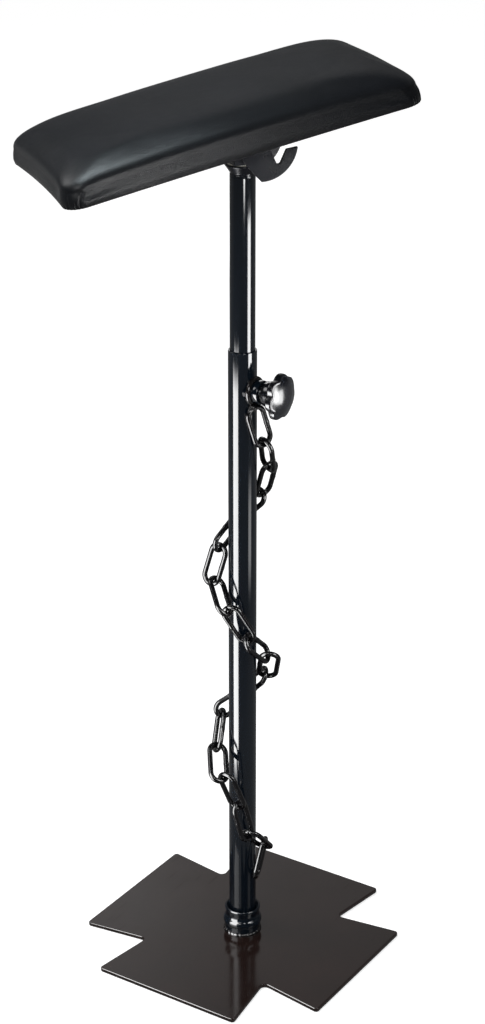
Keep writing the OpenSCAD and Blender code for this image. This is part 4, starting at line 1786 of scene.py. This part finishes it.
@dataclass
class Studio:
    """The camera of the photograph's view, and the room, floor, lamps and cards round the stand.

    Attributes:
        eye: place of the camera.
        pitch: how far it looks down, in degrees.
        heading: its turn about Z, in degrees.
        focal: its focal length, in millimetres.
        sensor: its sensor's long side, in millimetres.
        away: heading from the post away from the camera, in degrees.
        room_light: strength of the light that the room gives.
        room_levels: what gloss sees of the room, as pairs of the sine of the angle above
            the horizon and a level. The base plate mirrors the band at 30 degrees.
        room_sides: gain of those levels, as pairs of a place from right to left and a gain.
        room_width: how far to each side those places reach, as part of a direction.
        room_depth: how far back the room's gain starts and stops to rise.
        room_gains: that gain in front of the post and behind it.
        floor_size: side of the floor.
        floor_tint: how much of the light the floor gives back.
        floor_glow: what the eye sees added to that.
        floor_depth: how far behind the post the floor's level in gloss changes.
        floor_levels: that level in front and behind.
        lamps: the soft boxes. The key stands close over the near left end of the pad, the
            top light far to the left, the fill over the camera, and the last one lights
            the star knob's face.
        cards: the cards that draw the long highlights of the tubes and the pad's side.
    """

    eye: Triple = (1.2594, -1.9246, 1.5319)
    pitch: float = 23.057
    heading: float = 33.2
    focal: float = 78.48
    sensor: float = 36.0
    away: float = 123.2
    room_light: float = 0.62
    room_levels: tuple[Pair, ...] = ((0.0, 0.30), (0.03, 0.20), (0.12, 0.05), (0.42, 0.12), (0.50, 0.95),
                                     (0.53, 1.0), (0.585, 0.62), (0.68, 0.30), (0.85, 0.12))
    room_sides: tuple[Pair, ...] = ((0.0, 0.35), (0.38, 0.46), (0.50, 0.56), (0.60, 1.0), (0.72, 1.0),
                                    (0.90, 0.35))
    room_width: float = 0.30
    room_depth: Pair = (-0.9, 0.5)
    room_gains: Pair = (0.28, 1.0)
    floor_size: float = 30.0
    floor_tint: float = 0.9
    floor_glow: float = 0.42
    floor_depth: Pair = (-0.75, -0.30)
    floor_levels: Pair = (0.15, 0.22)
    lamps: tuple[Lamp, ...] = (
        Lamp("key", (-0.07, -0.30, 1.46), (-0.03, -0.2, 1.0), (0.15, 0.15), 2.7, colour=(0.84, 0.96, 1.0)),
        Lamp("top light", (-2.3, -0.9, 2.9), (0.0, 0.0, 0.3), (1.6, 1.6), 40.0),
        Lamp("fill", (0.36, -2.44, 2.27), (0.0, 0.0, 0.6), (1.1, 0.9), 20.0),
        Lamp("knob light", (0.46, 0.175, 0.60), (0.05, 0.0, 0.70), (0.22, 0.22), 2.2,
             only="star_knob_moulded"),
    )
    cards: tuple[Card, ...] = (
        Card("left card", -112.0, 0.35, 45.0, 0.0, 0.655, 20.0, spared="arm_pad_cover"),
        Card("right card", 3.0, 0.5, 30.0, 0.53, 0.82, 20.0, spared="arm_pad_cover"),
        Card("rim card", 131.0, 0.35, 34.0, 0.72, 0.90, 3.0, fade=0.2),
        Card("pad card", -42.0, 0.64, 13.0, 0.80, 1.02, 24.0, fade=0.3),
        Card("low right card", 3.0, 0.5, 26.0, 0.24, 0.46, 4.0, fade=0.3),
    )

    def camera(self) -> None:
        """The camera, level from side to side."""
        data = bpy.data.cameras.new("camera")
        data.lens, data.sensor_width, data.sensor_fit = self.focal, self.sensor, "AUTO"
        obj = put("camera", data)
        obj.location = self.eye
        obj.rotation_euler = (math.radians(90 - self.pitch), 0, math.radians(self.heading))
        bpy.context.scene.camera = obj

    def along(self, tree: Tree, place: Socket, turn: float) -> Socket:
        """How far a place or a direction lies along the view's level heading.

        Args:
            tree: the node tree.
            place: a position or a direction.
            turn: degrees to the left of the view's heading, for another way than back.

        Returns:
            The socket that holds the distance.
        """
        a = math.radians(self.away + turn)
        way = (math.cos(a), math.sin(a), 0.0)
        return add(tree, "ShaderNodeVectorMath", {0: place, 1: way}, operation="DOT_PRODUCT").outputs["Value"]

    def graded(self, tree: Tree, place: Socket, depth: Pair, levels: Pair) -> Node:
        """A level that changes smoothly from the front to the back.

        Args:
            tree: the node tree.
            place: a position or a direction.
            depth: how far back the change starts and ends.
            levels: the level in front and the level behind.

        Returns:
            The node whose first output is the level.
        """
        ends = {0: self.along(tree, place, 0.0), 1: depth[0], 2: depth[1], 3: levels[0], 4: levels[1]}
        return add(tree, "ShaderNodeMapRange", ends, interpolation_type="SMOOTHSTEP")

    def world(self) -> None:
        """A room that is white to the eye and lights evenly.

        Gloss sees its levels by height, times a gain from side to side and one from
        front to back.
        """
        world = bpy.data.worlds.new("studio")
        bpy.context.scene.world = world
        tree = cleared(world)
        direction = add(tree, "ShaderNodeTexCoord").outputs["Generated"]
        height = add(tree, "ShaderNodeSeparateXYZ", {0: direction}).outputs["Z"]
        level = add(tree, "ShaderNodeValToRGB", {"Fac": height}, self.room_levels)
        side = add(tree, "ShaderNodeMapRange", {
            0: self.along(tree, direction, 90.0), 1: -self.room_width, 2: self.room_width, 3: 0.0, 4: 1.0})
        gain = add(tree, "ShaderNodeValToRGB", {"Fac": side}, self.room_sides)
        seen = add(tree, "ShaderNodeMix", {0: 1.0, 6: level, 7: gain},
                   data_type="RGBA", blend_type="MULTIPLY")
        share = self.graded(tree, direction, self.room_depth, self.room_gains)
        gloss = add(tree, "ShaderNodeBackground", {"Color": seen.outputs[2], "Strength": share})
        light = add(tree, "ShaderNodeBackground", {"Color": WHITE, "Strength": self.room_light})
        white = add(tree, "ShaderNodeBackground", {"Color": WHITE, "Strength": 1.0})
        add(tree, "ShaderNodeOutputWorld", {"Surface": by_ray(tree, white, gloss, light)})

    def floor(self) -> None:
        """A white floor that keeps the soft shadow.

        The eye sees a glow added to the light that falls on it. Gloss sees it dim, and a
        little brighter behind the stand than in front.
        """
        s = self.floor_size / 2
        _, tree = panel("floor", [(-s, -s, 0), (s, -s, 0), (s, s, 0), (-s, s, 0)])
        matt = add(tree, "ShaderNodeBsdfDiffuse", {"Color": (*[self.floor_tint] * 3, 1.0)})
        glow = add(tree, "ShaderNodeEmission", {"Color": WHITE, "Strength": self.floor_glow})
        lit = add(tree, "ShaderNodeAddShader", {0: matt, 1: glow})
        place = add(tree, "ShaderNodeTexCoord").outputs["Object"]
        level = self.graded(tree, place, self.floor_depth, self.floor_levels)
        mirrored = add(tree, "ShaderNodeEmission", {"Color": WHITE, "Strength": level})
        add(tree, "ShaderNodeOutputMaterial", {"Surface": by_ray(tree, lit, mirrored, matt)})

    def build(self) -> None:
        """Builds the camera, the room and the floor."""
        bpy.context.scene.view_settings.view_transform = "Standard"
        self.camera()
        self.world()
        self.floor()

    def lights(self) -> None:
        """Adds the lamps and the cards, once the pieces that some of them are linked to are there."""
        for light in (*self.lamps, *self.cards):
            light.build()


def dress_nodes() -> None:
    """Gives every node that stays visible the finish of its slot, save the top plug, which takes the tubes'
    enamel.
    """
    for row in frame["record"]["subparts"]:
        node = frame["nodes"][row["node"]]
        slot = Slot.POST if row["node"] == "top_plug" else Slot(row["material_slot"])
        node.data.materials.clear()
        node.data.materials.append(finish_of(slot))


def corners(box: tuple[Vector, Vector]) -> list[list[float]]:
    """A box as two plain lists."""
    return [list(box[0]), list(box[1])]


def main() -> None:
    """Builds the dressed part."""
    logging.basicConfig(level=logging.INFO, format="%(message)s")
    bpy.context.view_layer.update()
    studio = Studio()
    studio.build()
    dress_nodes()
    for part in (Foot(), Post(), Clamp(), Chain(), Head(), ArmPad()):
        part.build()
        LOG.info("built %s", type(part).__name__)
    studio.lights()


if __name__ == "__main__":
    main()
